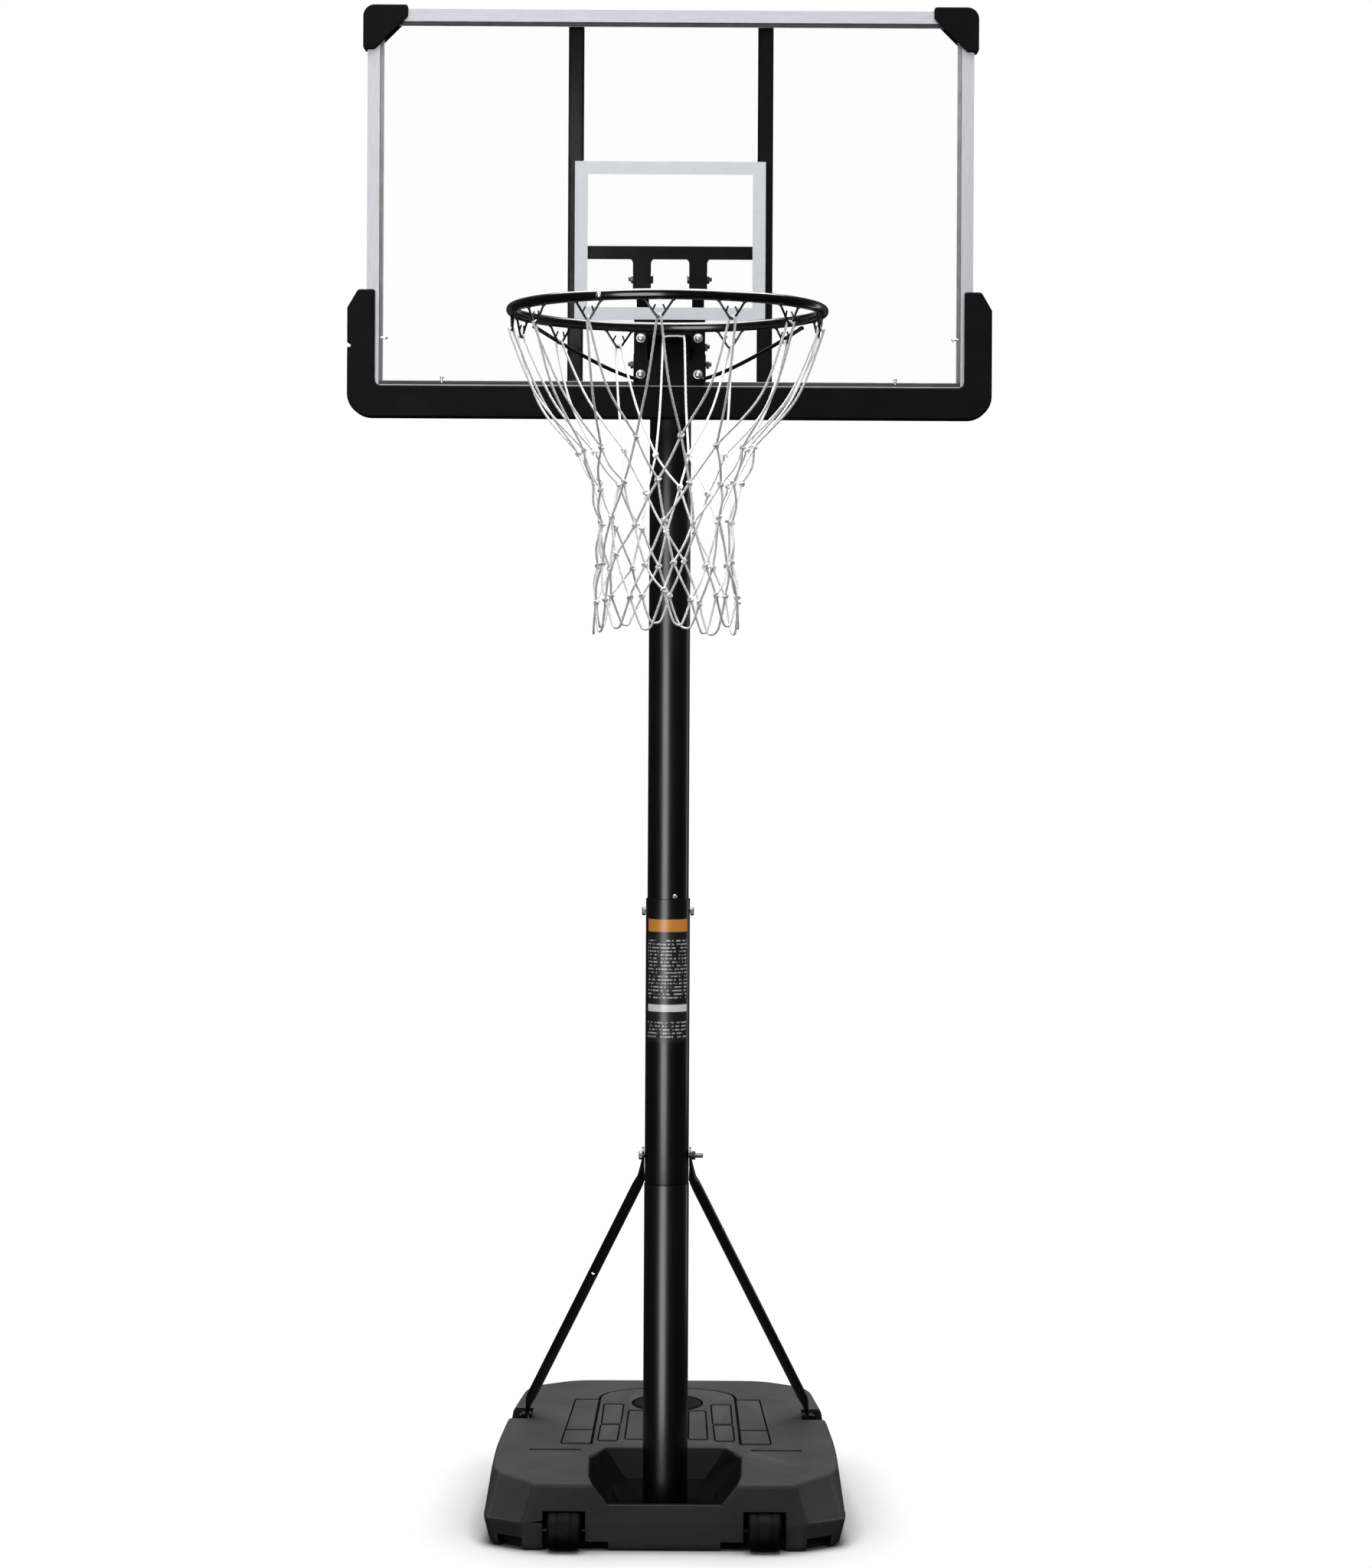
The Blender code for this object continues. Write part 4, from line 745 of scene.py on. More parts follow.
# ------------------------------------------------------------ wheels
for s, side in ((-1, "left"), (1, "right")):
    lo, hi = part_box("wheel_" + side)
    c = [(a + b) / 2 for a, b in zip(lo, hi)]
    w, R = (hi[0] - lo[0]) / 2, (hi[2] - lo[2]) / 2
    prof = [(0.0057, w - 0.004), (0.0057, -w + 0.004), (0.0062, -w + 0.0025), (0.0100, -w + 0.0020), (0.0108, -w + 0.0060),
            (0.0212, -w + 0.0065), (0.0224, -w + 0.0010), (0.0234, -w), (R - 0.0060, -w), (R - 0.0030, -w + 0.0010), (R - 0.0008, -w + 0.0030),
            (R, -w + 0.0060), (R, -w + 0.0135), (R - 0.0016, -w + 0.0145), (R - 0.0016, -w + 0.0175), (R, -w + 0.0185),
            (R, w - 0.0185), (R - 0.0016, w - 0.0175), (R - 0.0016, w - 0.0145), (R, w - 0.0135), (R, w - 0.0060),
            (R - 0.0008, w - 0.0030), (R - 0.0030, w - 0.0010), (R - 0.0060, w), (0.0234, w), (0.0224, w - 0.0010), (0.0212, w - 0.0065),
            (0.0108, w - 0.0060), (0.0100, w - 0.0020), (0.0062, w - 0.0025)]
    me = turn(prof, 72, Matrix.Translation(c) @ AXIS['X'])
    add("wheel_tyre_" + side, me, M_RUBBER, "wheel_" + side, 35, ("wheel_" + side,))
    spokes = bmesh.new()
    for q in range(6):
        for e in (-1, 1):
            m = (Matrix.Translation(c) @ Matrix.Rotation(math.tau * q / 6, 4, 'X') @ Matrix.Translation((e * (w - 0.0052), 0, 0.0160))
                 @ Matrix.Diagonal((0.0024, 0.0030, 0.0110, 1)))
            bmesh.ops.create_cube(spokes, size=1.0, matrix=m)
    bmesh.ops.bevel(spokes, geom=list(spokes.edges), offset=0.0004, segments=1, affect='EDGES')
    add("wheel_spokes_" + side, mesh_of("spokes", spokes), M_RUBBER, "wheel_" + side, 35)


# ------------------------------------------------------------ pole tubes
def rolled_tube(r, t, z0, z1):
    """A tube with softened rims."""
    q = t * 0.45
    return [(r - q, z1), (r - q * 0.3, z1 - q * 0.3), (r, z1 - q), (r, z0 + q), (r - q * 0.3, z0 + q * 0.3), (r - q, z0),
            (r - t + q * 0.5, z0), (r - t, z0 + q * 0.5), (r - t, z1 - q * 0.5), (r - t + q * 0.5, z1)]


at_pole = Matrix.Translation((0, Y0, 0))
add("lower_pole_tube", turn(rolled_tube(LOWER_R, 0.0020, FOOT_Z, JOINT_LOW), 128, at_pole), M_COAT, "base", 40, ("lower_pole",))
sw = LOWER_R - 0.0024
mid_prof = [(MID_R - 0.0008, JOINT_UP), (MID_R - 0.0002, JOINT_UP - 0.0003), (MID_R, JOINT_UP - 0.0010), (MID_R, JOINT_LOW + 0.0024),
            (MID_R - 0.0004, JOINT_LOW + 0.0012), (MID_R - 0.0014, JOINT_LOW + 0.0007), (sw, JOINT_LOW + 0.0006), (sw, 0.5130), (sw - 0.0006, 0.5120),
            (sw - 0.0018, 0.5120), (sw - 0.0018, JOINT_LOW + 0.004), (MID_R - 0.0018, JOINT_LOW + 0.010), (MID_R - 0.0018, JOINT_UP)]
mid_me = turn(mid_prof, 128, at_pole)
mid_me = baked(mid_me, cutters=[rod(0.0036, -0.07, 0.07, 'X', 24, (0, Y0, 1.066)), rod(0.0046, -0.07, 0.07, 'X', 24, (0, Y0, 0.649))])
add("middle_pole_tube", mid_me, M_COAT, "base", 40, ("middle_pole",))
BT = math.radians(19.0)
button_z = JOINT_UP + 0.0048
bh = rod(0.0044, -0.045, -0.020, 'Y', 24)
bh.transform(Matrix.Translation((0, Y0, button_z)) @ Matrix.Rotation(BT, 4, 'Z'))
up_me = baked(turn(rolled_tube(UPPER_R, 0.0018, UPPER_FOOT, POLE_TOP), 128, at_pole),
              cutters=[bh, rod(0.0047, -0.06, 0.06, 'X', 24, (0, Y0, 2.030)), rod(0.0047, -0.06, 0.06, 'X', 24, (0, Y0, 1.930))])
add("upper_pole_tube", up_me, M_COAT, "head", 40, ("upper_pole",))
add("pole_end_cap", turn([(0.0, -0.0020), (0.0300, -0.0020), (0.0300, -0.0180), (0.0328, -0.0180), (0.0328, 0.0003), (0.0355, 0.0003),
                          (0.0358, 0.0010), (0.0357, 0.0040), (0.0345, 0.0068), (0.0310, 0.0092), (0.0200, 0.0117), (0.0, 0.0125)], 96,
                         Matrix.Translation((0, Y0, POLE_TOP))), M_TRIM, "head", 40, ("pole_cap",))
lr = MID_R + 0.0003
outline = [((lr + 0.0004) * math.sin(a), Y0 - (lr + 0.0004) * math.cos(a)) for a in [math.radians(-59 + 118 * q / 60) for q in range(61)]]
outline += [(lr * math.sin(a), Y0 - lr * math.cos(a)) for a in [math.radians(59 - 118 * q / 60) for q in range(61)]]
add("height_sticker_wrap", prism(outline, lz0, lz1, 'XY'), M_LABEL, "base", 30, ("height_label",))


# ------------------------------------------------------------ struts
def strut_rings(s):
    top = Vector((s * (MID_R + 0.0026), 0.0, 0.649))
    foot = Vector((s * 0.2550, 0.365, 0.126))
    a = top + Vector((s * 0.004, 0.030, -0.043))
    b = foot + Vector((-s * 0.006, -0.022, 0.032))
    d = (b - a).normalized()
    up = Vector((0, 0.57, -0.82)).normalized()
    st = [(top - up * 0.0130, up, 0.0, 0.0050), (top - up * 0.0120, up, 0.0, 0.0078), (top - up * 0.0085, up, 0.0, 0.0105), (top, up, 0.0, 0.0115),
          (top + up * 0.0120, up, 0.0, 0.0115), (top * 0.55 + a * 0.45 + up * 0.004, (up * 0.5 + d * 0.5).normalized(), 0.22, 0.0112),
          (a, d, 0.72, 0.0105), (a + d * 0.012, d, 0.93, 0.0098), (a + d * 0.024, d, 1.0, 0.009), (a * 0.5 + b * 0.5, d, 1.0, 0.009),
          (b - d * 0.024, d, 1.0, 0.009), (b - d * 0.012, d, 0.93, 0.0098), (b, d, 0.72, 0.0105),
          (foot * 0.55 + b * 0.45 - up * 0.004, (up * 0.5 + d * 0.5).normalized(), 0.22, 0.0112), (foot - up * 0.0120, up, 0.0, 0.0115),
          (foot, up, 0.0, 0.0115), (foot + up * 0.0085, up, 0.0, 0.0105), (foot + up * 0.0120, up, 0.0, 0.0078), (foot + up * 0.0130, up, 0.0, 0.0050)]
    rings = []
    for c, t, fl, wide in st:
        u = (Vector((1, 0, 0)) - t * t.x).normalized()
        v = t.cross(u)
        ring = []
        for i in range(32):
            ang = math.tau * i / 32
            ca, sa = math.cos(ang), math.sin(ang)
            fu = 0.0020 * max(-1.0, min(1.0, ca * 2.2))
            fv = wide * max(-1.0, min(1.0, sa * 1.12))
            ring.append(c + u * (fu * (1 - fl) + 0.009 * ca * fl) + v * (fv * (1 - fl) + 0.009 * sa * fl) + Vector((0, Y0, 0)))
        rings.append(ring)
    return rings


for s, side in ((-1, "left"), (1, "right")):
    me = loft(strut_rings(s))
    me = baked(me, cutters=[rod(0.0046, -0.08, 0.08, 'X', 24, (0, Y0, 0.649)),
                            rod(0.0044, s * 0.255 - 0.02, s * 0.255 + 0.02, 'X', 24, (0, Y0 + 0.365, 0.126))])
    add("strut_tube_" + side, me, M_COAT, "base", 38, ("strut_" + side,))

me = rod(0.0029, -0.0104, -0.0078, 'Y', 24, (-0.1285, Y0 + 0.1585, 0.422), 0.0020)
add("strut_rivet_left", me, M_ZINC, "base", 30)

# ------------------------------------------------------------ edge padding and corner caps
slot_box = box((-0.4945, Y0 - 0.2705, 1.9190), (0.4945, Y0 - 0.2477, 2.5517))
half = ([(0.5075, 2.094), (0.525, 2.064)] + arc(0.486, 1.925, 0.039, 0, -90, 20))
inner = arc(0.470, 1.948, 0.010, -90, 0, 8) + [(0.480, 2.094)]
outline = half + [(-x, z) for x, z in reversed(half)] + [(-x, z) for x, z in reversed(inner)] + inner
notches = []
for s in (-1, 1):
    x0, x1 = sorted((s * 0.1420, s * 0.1680))
    notches.append(box((x0, Y0 - 0.2490, 1.899), (x1, Y0 - 0.20, 1.980)))
nick = prism([(-0.530, 2.0085), (-0.5190, 2.0070), (-0.5190, 2.0000), (-0.530, 1.9985)], Y0 - 0.30, Y0 - 0.22)
pad = baked(prism(outline, Y0 - 0.2765, Y0 - 0.2400), cutters=[slot_box, nick] + notches, bevels=[(0.0036, 4, 55)])
add("edge_padding", pad, M_FOAM, "head", 42, ("bottom_trim",), crisp=True)
for s, side in ((-1, "left"), (1, "right")):
    X, Z, L, W = 0.5015, 2.5580, 0.0730, 0.0200
    pts = [(X - L + 0.004, Z)] + arc(X - 0.019, Z - 0.019, 0.019, 90, 0, 14)
    pts += arc(X - 0.005, Z - L + 0.005, 0.005, 0, -90, 6) + arc(X - W + 0.004, Z - L + 0.007, 0.007, -90, -135, 5)
    pts += arc(X - L + 0.007, Z - W + 0.004, 0.007, -135, -180, 5) + [(X - L, Z - 0.004), (X - L + 0.0012, Z - 0.0012)]
    me = baked(prism([(s * x, z) for x, z in pts], Y0 - 0.2745, Y0 - 0.2440), cutters=[slot_box], bevels=[(0.0022, 3, 55)])
    add("corner_guard_" + side, me, M_TRIM, "head", 42, ("corner_cap_" + side,), crisp=True)


# folded plates that carry the upper arms, welded to the front of the crossbar
for s, side in ((-1, "left"), (1, "right")):
    c = s * 0.046
    top, foot, w, r = 2.1540, 2.0880, 0.0148, 0.009
    pts = [(c - w - r, top)] + [(c - w - r + r * math.sin(math.radians(t)), top - 0.004 - r + r * math.cos(math.radians(t))) for t in range(0, 91, 15)]
    pts += [(c - w, foot + 0.003), (c - w + 0.003, foot), (c + w - 0.003, foot), (c + w, foot + 0.003)]
    pts += [(c + w + r - r * math.sin(math.radians(t)), top - 0.004 - r + r * math.cos(math.radians(t))) for t in range(90, -1, -15)]
    pts += [(c + w + r, top)]
    me = baked(prism(pts, Y0 - 0.2458, Y0 - 0.2436), bevels=[(0.0005, 2, 40)])
    add("arm_plate_" + side, me, M_BAR, "head", 40, crisp=True)

# dark seal showing inside the aluminium face
GASKET = plastic_black("panel_seal", 0.060, 0.5, 0.65, 700)
SEAL_SIDE = plastic_black("panel_seal_side", 0.200, 0.5, 0.65, 700)
IN = 0.494 - 0.0205
for nm, a, b in (("top", (-IN, 2.5512 - 0.0262), (IN, 2.5512 - 0.0205)), ("bottom", (-IN, 1.9195 + 0.0205), (IN, 1.9195 + 0.0262)),
                 ("left", (-IN, 1.9195 + 0.0266), (-IN + 0.0057, 2.5512 - 0.0266)), ("right", (IN - 0.0057, 1.9195 + 0.0266), (IN, 2.5512 - 0.0266))):
    me = baked(box((a[0], Y0 - 0.2688, a[1]), (b[0], Y0 - 0.2672, b[1])), bevels=[(0.0005, 2, 30)])
    add("panel_seal_" + nm, me, GASKET if nm in ("top", "bottom") else SEAL_SIDE, "head", 40)


# ------------------------------------------------------------ rim
def polar(a_deg, r=RING_R, z=0.0):
    t = math.radians(a_deg)
    return Vector((r * math.sin(t), RING_Y - r * math.cos(t), RING_Z + z))


rim = bmesh.new()
tube(rim, [polar(360 * q / 240) for q in range(240)], ROD, 28, closed=True)
HOOK_ANGLES = [-2.4 + 26.35 * (q - 6) for q in range(13)]
for a in HOOK_ANGLES:
    path = [polar(a - 5.2, RING_R, -0.0045), polar(a - 4.9, RING_R, -0.0085), polar(a - 1.5, RING_R, -0.0290),
            polar(a - 0.6, RING_R, -0.0330), polar(a + 0.6, RING_R, -0.0330), polar(a + 1.5, RING_R, -0.0290),
            polar(a + 4.9, RING_R, -0.0085), polar(a + 5.2, RING_R, -0.0045)]
    tube(rim, resample(path, 0.003), 0.0017, 10)
    for sgn in (-1, 1):
        root = polar(a + sgn * 2.3, RING_R, -0.0245)
        tip = polar(a + sgn * 1.35, RING_R - 0.0015, -0.0150)
        tube(rim, [root, root * 0.6 + tip * 0.4 + Vector((0, 0, 0.0008)), tip], 0.0013, 8)
    for sgn in (-1, 1):                                # weld beads
        p = polar(a + sgn * 5.05, RING_R, -0.0078)
        bmesh.ops.create_uvsphere(rim, u_segments=12, v_segments=8, radius=0.0029, matrix=Matrix.Translation(p) @ Matrix.Diagonal((1.1, 1.1, 0.8, 1)))
# path points for the wide rear hanger by the bracket; the hanger itself is not drawn
rear = [polar(180 - 5.0, RING_R, -0.0045), polar(180 - 4.6, RING_R, -0.0160), polar(180 - 4.0, RING_R, -0.0205), polar(180 + 4.0, RING_R, -0.0205),
        polar(180 + 4.6, RING_R, -0.0160), polar(180 + 5.0, RING_R, -0.0045)]
add("rim_ring_welded", mesh_of("rim", rim), M_RIM, "head", 60, ("rim_ring",))
riv = turn([(0.0, -0.001), (0.0044, -0.001), (0.0044, 0.0004), (0.0038, 0.0016), (0.0022, 0.0023), (0.0, 0.0026)], 32,
           Matrix.Translation(polar(-23.7, RING_R + ROD - 0.0004, -0.0005)) @ Matrix.Rotation(math.radians(-23.7), 4, 'Z') @ Matrix.Rotation(math.radians(90), 4, 'X'))
add("ring_rivet", riv, M_ZINC, "head", 50)

for s, side in ((-1, "left"), (1, "right")):
    a = Vector((s * 0.0530, Y0 - 0.2720 - 0.0036, 1.9500))
    b = Vector((s * 0.2080, Y0 - 0.5320, RING_Z - ROD - 0.0036))
    tang = Vector((s * 0.43, -0.90, 0.0)).normalized()
    c1, c2 = a + Vector((s * 0.045, -0.030, 0.006)), b - tang * 0.045 - Vector((0, 0, 0.010))
    pts = [(1 - t) ** 3 * a + 3 * (1 - t) ** 2 * t * c1 + 3 * (1 - t) * t * t * c2 + t ** 3 * b for t in [q / 48 for q in range(49)]]
    br = bmesh.new()
    tube(br, pts, 0.0030, 14)
    for p in (pts[1], pts[-2]):
        bmesh.ops.create_uvsphere(br, u_segments=14, v_segments=10, radius=0.0040, matrix=Matrix.Translation(p) @ Matrix.Diagonal((1.2, 1.0, 0.75, 1)))
    add("rim_brace_rod_" + side, mesh_of("brace", br), M_RIM, "head", 60, ("rim_brace_" + side,))

for nm in ("upper_left", "upper_right", "lower_left", "lower_right"):
    lo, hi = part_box("plate_bolt_" + nm)
    x, z, yf, yb = (lo[0] + hi[0]) / 2, (lo[2] + hi[2]) / 2, lo[1], hi[1]
    L = yb - yf
    prof = [(0.0, L), (0.0020, L - 0.0002), (0.0038, L - 0.0009), (0.0054, L - 0.0024), (0.0061, L - 0.0040), (0.0062, L - 0.0045),
            (0.0072, L - 0.0046), (0.0073, L - 0.0047), (0.0040, L - 0.0048), (0.0040, 0.0062), (0.0069, 0.0060), (0.0070, 0.0055), (0.0070, 0.0004), (0.0066, 0.0),
            (0.0, 0.0)]
    me = turn(prof, 40, Matrix.Translation((x, yb, z)) @ Matrix.Rotation(math.radians(90), 4, 'X'))
    add("dome_bolt_" + nm, me, M_ZINC, "head", 35, ("plate_bolt_" + nm,))

# small screws through the frame's inner lips
for i, (x, z, ax) in enumerate(((-0.4665, 2.0160, 'X'), (0.4665, 2.0170, 'X'), (-0.3710, 1.9468, 'Z'), (0.3680, 1.9468, 'Z'))):
    bm = bmesh.new()
    prof = [(0.0, 0.0075), (0.0016, 0.0072), (0.0028, 0.0060), (0.0032, 0.0040), (0.0032, 0.0032), (0.0020, 0.0030), (0.0020, -0.0040), (0.0, -0.0042)]
    m = Matrix.Translation((x, Y0 - 0.2672, z))
    if ax == 'X':
        m = m @ Matrix.Rotation(math.radians(90 if x < 0 else -90), 4, 'Y')
    bm.free()
    add("lip_screw_%d" % i, turn(prof, 24, m), M_ZINC, "head", 40)

# ------------------------------------------------------------ net
TOPS = HOOK_ANGLES + [178.0]
TOPS = sorted(TOPS)
N = len(TOPS)
HOOK_Z = -0.0345
ROWS = [(1.8130, 0.1360), (1.7540, 0.1110), (1.6960, 0.1010), (1.6390, 0.1030), (1.5850, 0.1080)]
CORD_R = 0.00178


def ply(run, a):
    return 1.0 + 0.13 * math.cos(3.0 * (a - run * 420.0))


def at(a_deg, r, z):
    t = math.radians(a_deg)
    return Vector((r * math.sin(t), RING_Y - r * math.cos(t), z))


def lerp_angle(i):
    """Top angle number i, counted on past a full turn."""
    q, m = divmod(i, N)
    return TOPS[m] + 360.0 * q


knots = []
for r_i, (z, r) in enumerate(ROWS):
    row = []
    even = [-180 + 360.0 / N * (q + 0.35) for q in range(N)]
    blend = max(0.0, 1.0 - (r_i + 0.4) * 0.30)
    for q in range(N):
        if r_i % 2 == 0:
            top = (lerp_angle(q) + lerp_angle(q + 1)) / 2
            ev = even[0] + 360.0 / N * (q + 0.5)
        else:
            top = lerp_angle(q)
            ev = even[0] + 360.0 / N * q
        a = top * blend + ev * (1 - blend) + rnd.uniform(-3.0, 3.0)
        row.append(at(a, r * (1 + rnd.uniform(-0.035, 0.035)), z + rnd.uniform(-0.009, 0.009)))
    knots.append(row)

net = bmesh.new()


def strand(p, q, sag=0.0, out=0.0):
    mid = (p + q) / 2
    d = Vector((mid.x, mid.y - RING_Y, 0))
    n = d.normalized() if d.length > 1e-6 else Vector((0, 0, 0))
    mid = mid + n * out + Vector((0, 0, -sag))
    tube(net, resample([p, mid, q], 0.0030), CORD_R, 9, section=ply)


def knot(p, turn_a, size=0.0041):
    """A pulled-tight overhand knot: a small trefoil of cord."""
    pts = []
    rot = Matrix.Rotation(turn_a, 4, 'Z') @ Matrix.Rotation(rnd.uniform(-0.5, 0.5), 4, 'Y') @ Matrix.Rotation(rnd.uniform(0, math.tau), 4, 'X')
    for i in range(36):
        t = math.tau * i / 36
        v = Vector(((math.sin(t) + 2 * math.sin(2 * t)) / 3, (math.cos(t) - 2 * math.cos(2 * t)) / 3, -math.sin(3 * t) * 0.62)) * size
        pts.append(rot @ v + p)
    tube(net, pts, CORD_R * 0.95, 9, closed=True)


def bend(low, high):
    """A strand's middle: it hangs more steeply under its hook than a straight line would."""
    u, w = rnd.uniform(0.34, 0.44), rnd.uniform(0.50, 0.58)
    return Vector((low.x * u + high.x * (1 - u), low.y * u + high.y * (1 - u), low.z * w + high.z * (1 - w)))


# long top strands: each cord climbs from a knot, passes over its hook and comes down to the next knot
for q in range(N):
    a = lerp_angle(q)
    left = knots[0][q - 1] if q else knots[0][N - 1]
    right = knots[0][q]
    wide = TOPS[q] > 170
    if wide:
        h = [at(a - 4.6, RING_R - 0.0125, RING_Z - 0.012), at(a - 3.6, RING_R - 0.0125, RING_Z - 0.0045 - 0.012 + 0.003),
             at(a + 3.6, RING_R - 0.0125, RING_Z - 0.0045 - 0.012 + 0.003), at(a + 4.6, RING_R - 0.0125, RING_Z - 0.012)]
        h = [at(a - 4.2, RING_R - 0.004, RING_Z - 0.0220), at(a - 3.4, RING_R - 0.003, RING_Z - 0.0150), at(a, RING_R - 0.003, RING_Z - 0.0135),
             at(a + 3.4, RING_R - 0.003, RING_Z - 0.0150), at(a + 4.2, RING_R - 0.004, RING_Z - 0.0220)]
    else:
        h = [at(a - 1.0, RING_R - 0.0045, RING_Z - 0.0400), at(a - 0.55, RING_R - 0.0040, RING_Z - 0.0330), at(a, RING_R - 0.0010, RING_Z - 0.0292),
             at(a + 0.55, RING_R + 0.0030, RING_Z - 0.0330), at(a + 0.9, RING_R + 0.0030, RING_Z - 0.0400)]
    lm = bend(left, h[0])
    rm = bend(right, h[-1])
    tube(net, resample([left, lm] + h + [rm, right], 0.0030), CORD_R, 9, section=ply)
    if not wide:
        pass
for r_i in range(len(ROWS) - 1):
    for q in range(N):
        p = knots[r_i][q]
        if r_i % 2 == 0:
            nb = (q, (q + 1) % N)
        else:
            nb = (q, q - 1)
        for j in nb:
            strand(p, knots[r_i + 1][j], sag=rnd.uniform(0.0, 0.004), out=rnd.uniform(-0.002, 0.006))
for r_i in range(len(ROWS)):
    for q in range(N):
        knot(knots[r_i][q], rnd.uniform(0, math.tau))
# bottom loops between neighbouring last knots
for q in range(N):
    p, s2 = knots[-1][q], knots[-1][(q + 1) % N]
    mid = (p + s2) / 2
    d = Vector((mid.x, mid.y - RING_Y, 0)).normalized()
    e = (s2 - p).normalized()
    drop = 0.052 + rnd.uniform(-0.010, 0.002)
    w = 0.0095 + rnd.uniform(-0.002, 0.003)
    base = mid + d * rnd.uniform(0.0, 0.004)
    z_low = max(base.z - drop, 1.5300)
    c = Vector((base.x, base.y, z_low))
    pts = [p, p * 0.45 + (c - e * w * 1.3) * 0.55 + Vector((0, 0, 0.008)), c - e * w + Vector((0, 0, 0.009)), c - e * w * 0.55 + Vector((0, 0, 0.0015)), c,
           c + e * w * 0.55 + Vector((0, 0, 0.0015)), c + e * w + Vector((0, 0, 0.009)), s2 * 0.45 + (c + e * w * 1.3) * 0.55 + Vector((0, 0, 0.008)), s2]
    tube(net, resample(pts, 0.0030), CORD_R, 9, section=ply)
add("cord_net", mesh_of("net", net), M_CORD, "head", 80, ("net",))

# ------------------------------------------------------------ stage, light and camera
me = bpy.data.meshes.new("floor")
fb = bmesh.new()
S = 14.0
vs = [fb.verts.new(p) for p in ((-S, -S, -0.0006), (S, -S, -0.0006), (S, S * 1.6, -0.0006), (-S, S * 1.6, -0.0006))]
fb.faces.new(vs)
fb.to_mesh(me)
fb.free()
floor = bpy.data.objects.new("floor", me)
bpy.context.scene.collection.objects.link(floor)
fm = bpy.data.materials.new("pale_floor")
fm.use_nodes = True
ft = fm.node_tree
fn = ft.nodes
fp = fn["Principled BSDF"]
# painted contact shadow: ambient occlusion darkens the floor colour near the base
contact_shadow_ao = fn.new("ShaderNodeAmbientOcclusion")
contact_shadow_ao.samples = 8
contact_shadow_ao.inputs["Distance"].default_value = 0.16
painted_contact_shadow = fn.new("ShaderNodeValToRGB")
painted_contact_shadow.color_ramp.elements[0].position = 0.40
painted_contact_shadow.color_ramp.elements[0].color = (0.30, 0.30, 0.305, 1)
painted_contact_shadow.color_ramp.elements[1].position = 0.97
painted_contact_shadow.color_ramp.elements[1].color = (0.625, 0.625, 0.625, 1)
ft.links.new(contact_shadow_ao.outputs["AO"], painted_contact_shadow.inputs["Fac"])
ft.links.new(painted_contact_shadow.outputs["Color"], fp.inputs["Base Color"])
fp.inputs["Roughness"].default_value = 0.9
fp.inputs["Specular IOR Level"].default_value = 0.0
dim = fn.new("ShaderNodeBsdfDiffuse")
dim.inputs["Color"].default_value = (0.10, 0.10, 0.10, 1)
see = fn.new("ShaderNodeLightPath")
pick = fn.new("ShaderNodeMixShader")
ft.links.new(see.outputs["Is Camera Ray"], pick.inputs["Fac"])
ft.links.new(dim.outputs[0], pick.inputs[1])
ft.links.new(fp.outputs[0], pick.inputs[2])
fc = fn.new("ShaderNodeTexCoord")
ln = fn.new("ShaderNodeVectorMath")
ln.operation = 'LENGTH'
mid = fn.new("ShaderNodeVectorMath")
mid.operation = 'SUBTRACT'
mid.inputs[1].default_value = (0.0, Y0 + 0.255, 0.0)
ft.links.new(fc.outputs["Object"], mid.inputs[0])
ft.links.new(mid.outputs["Vector"], ln.inputs[0])
fade = fn.new("ShaderNodeMapRange")
fade.interpolation_type = 'SMOOTHSTEP'
fade.inputs["From Min"].default_value = 0.60
fade.inputs["From Max"].default_value = 0.86
ft.links.new(ln.outputs["Value"], fade.inputs["Value"])
tr = fn.new("ShaderNodeBsdfTransparent")
fmix = fn.new("ShaderNodeMixShader")
ft.links.new(fade.outputs["Result"], fmix.inputs["Fac"])
ft.links.new(pick.outputs[0], fmix.inputs[1])
ft.links.new(tr.outputs[0], fmix.inputs[2])
ft.links.new(fmix.outputs[0], fn["Material Output"].inputs["Surface"])
me.materials.append(fm)
floor.visible_glossy = False
floor.visible_shadow = False

world = bpy.data.worlds.new("studio")
bpy.context.scene.world = world
world.use_nodes = True
wt = world.node_tree
wt.nodes.clear()
out = wt.nodes.new("ShaderNodeOutputWorld")
lp = wt.nodes.new("ShaderNodeLightPath")


def glow(v):
    b = wt.nodes.new("ShaderNodeBackground")
    b.inputs["Color"].default_value = (1, 1, 1, 1)
    b.inputs["Strength"].default_value = v
    return b.outputs[0]


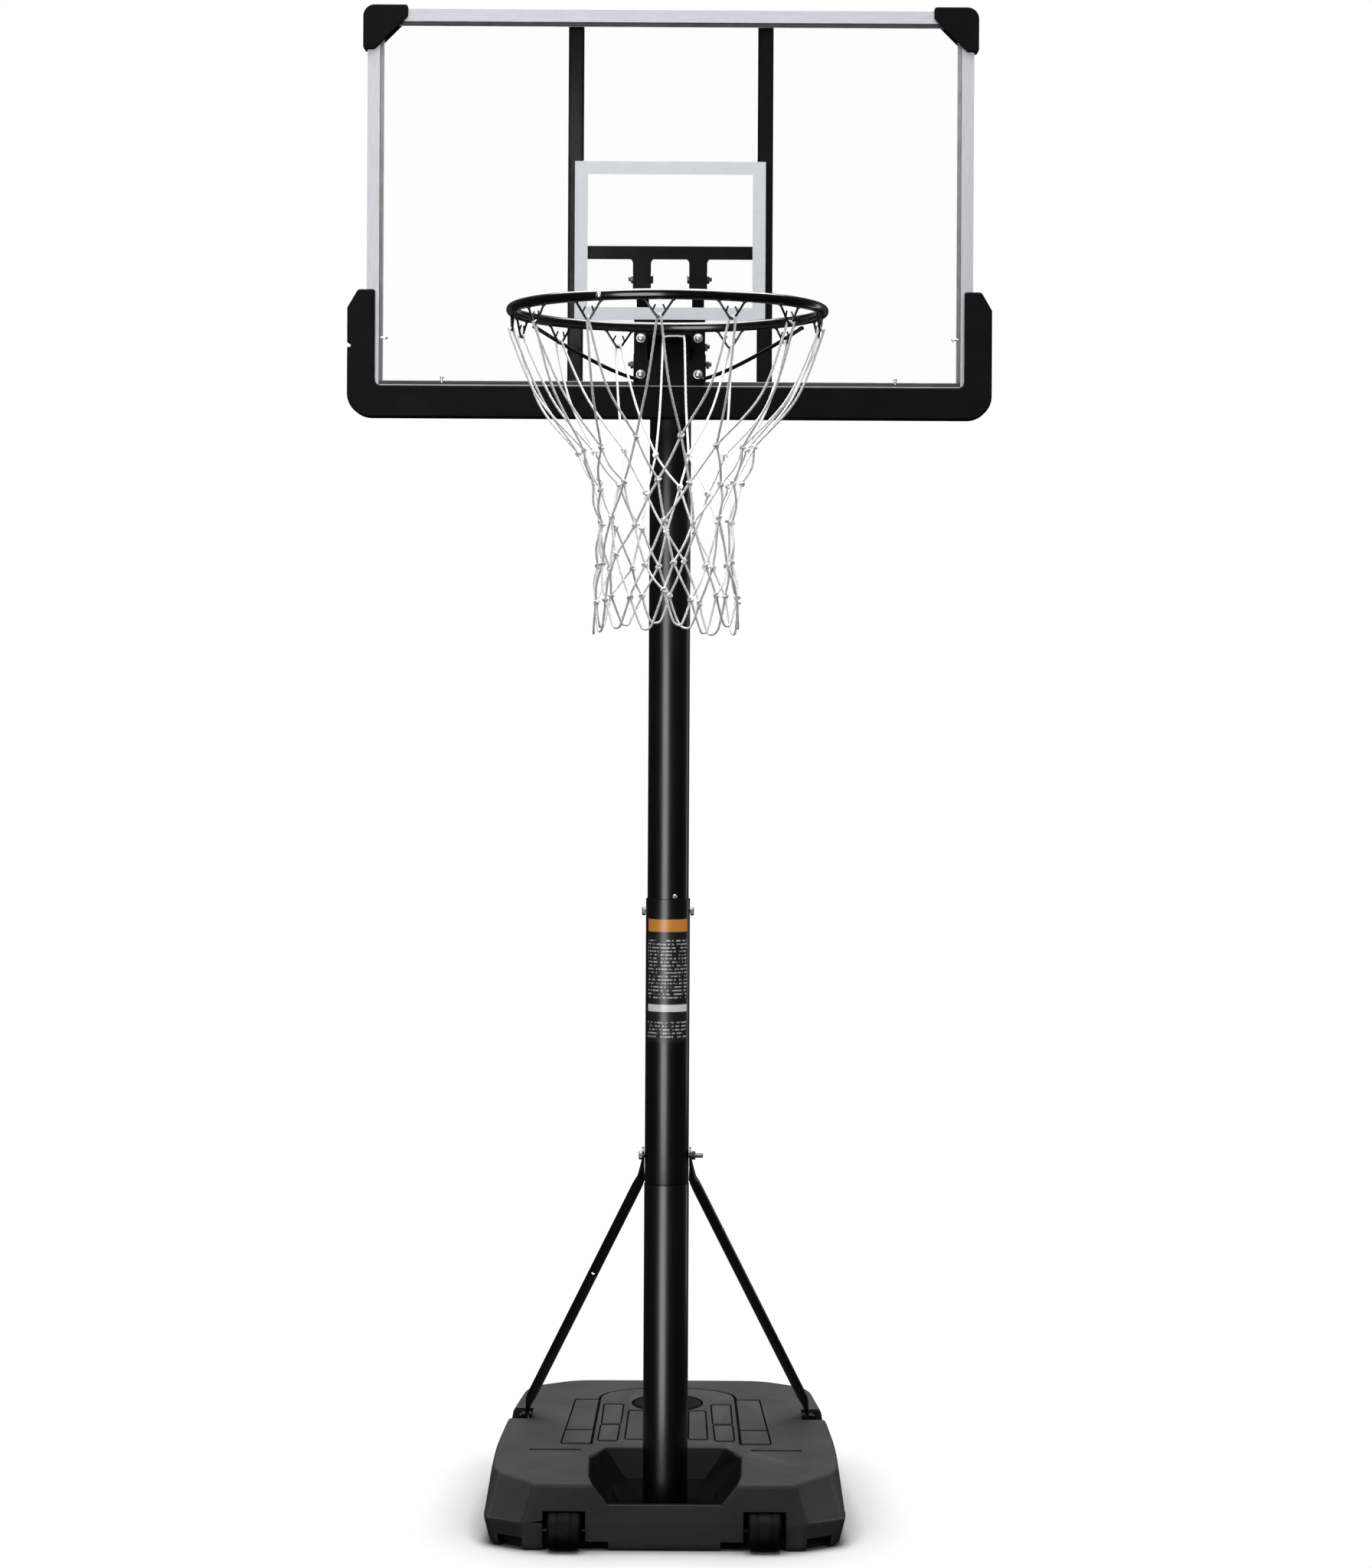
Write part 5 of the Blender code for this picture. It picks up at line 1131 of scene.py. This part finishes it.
def choose(fac, a, b):
    m = wt.nodes.new("ShaderNodeMixShader")
    wt.links.new(lp.outputs[fac], m.inputs["Fac"])
    wt.links.new(a, m.inputs[1])
    wt.links.new(b, m.inputs[2])
    return m.outputs[0]


wt.links.new(choose("Is Camera Ray", choose("Is Glossy Ray", glow(0.12), glow(0.03)), glow(1.02)), out.inputs["Surface"])


def area(name, loc, target, sx, sy, power, spread=180):
    l = bpy.data.lights.new(name, 'AREA')
    l.shape = 'RECTANGLE'
    l.size, l.size_y, l.energy = sx, sy, power
    l.spread = math.radians(spread)
    o = bpy.data.objects.new(name, l)
    bpy.context.scene.collection.objects.link(o)
    o.location = loc
    o.rotation_euler = (Vector(target) - Vector(loc)).to_track_quat('-Z', 'Y').to_euler()
    o.visible_camera = False
    return o


def ring_at(az, dist, z):
    """A place on a circle about the pole: azimuth from the camera side, to the right."""
    t = math.radians(az)
    return (dist * math.sin(t), Y0 - dist * math.cos(t), z)


area("top_soft", (0.0, 0.30, 4.4), (0, 0.25, 0), 3.0, 3.0, 340)
area("board_left", (-1.9, Y0 - 2.7, 3.3), (0, Y0 - 0.3, 2.05), 1.4, 1.4, 9.6, 75).visible_glossy = False
area("board_right", (1.9, Y0 - 2.7, 3.3), (0, Y0 - 0.3, 2.05), 1.4, 1.4, 9.4, 75).visible_glossy = False
area("strip_left", ring_at(-18, 5.2, 0.70), (0, Y0, 0.70), 2.7, 5.2, 270).visible_diffuse = False
area("strip_right", ring_at(128, 4.2, 1.4), (0, Y0, 1.2), 0.4, 3.0, 9)

cam = bpy.data.cameras.new("camera")
cam.sensor_fit = 'AUTO'
cam.sensor_width = 36.0
cam.lens = 4491.0 / 2048.0 * 36.0
cam.shift_x = -16.3 / 2048.0
cam.shift_y = -133.0 / 2048.0
cam.dof.use_dof = False
co = bpy.data.objects.new("camera", cam)
bpy.context.scene.collection.objects.link(co)
co.matrix_world = Matrix.Translation((0.05, Y0 - 5.87, 1.457)) @ Matrix.Rotation(math.radians(90), 4, 'X') @ Matrix.Rotation(math.radians(0.3), 4, 'Z')
bpy.context.scene.camera = co
bpy.context.scene.view_settings.view_transform = 'Standard'
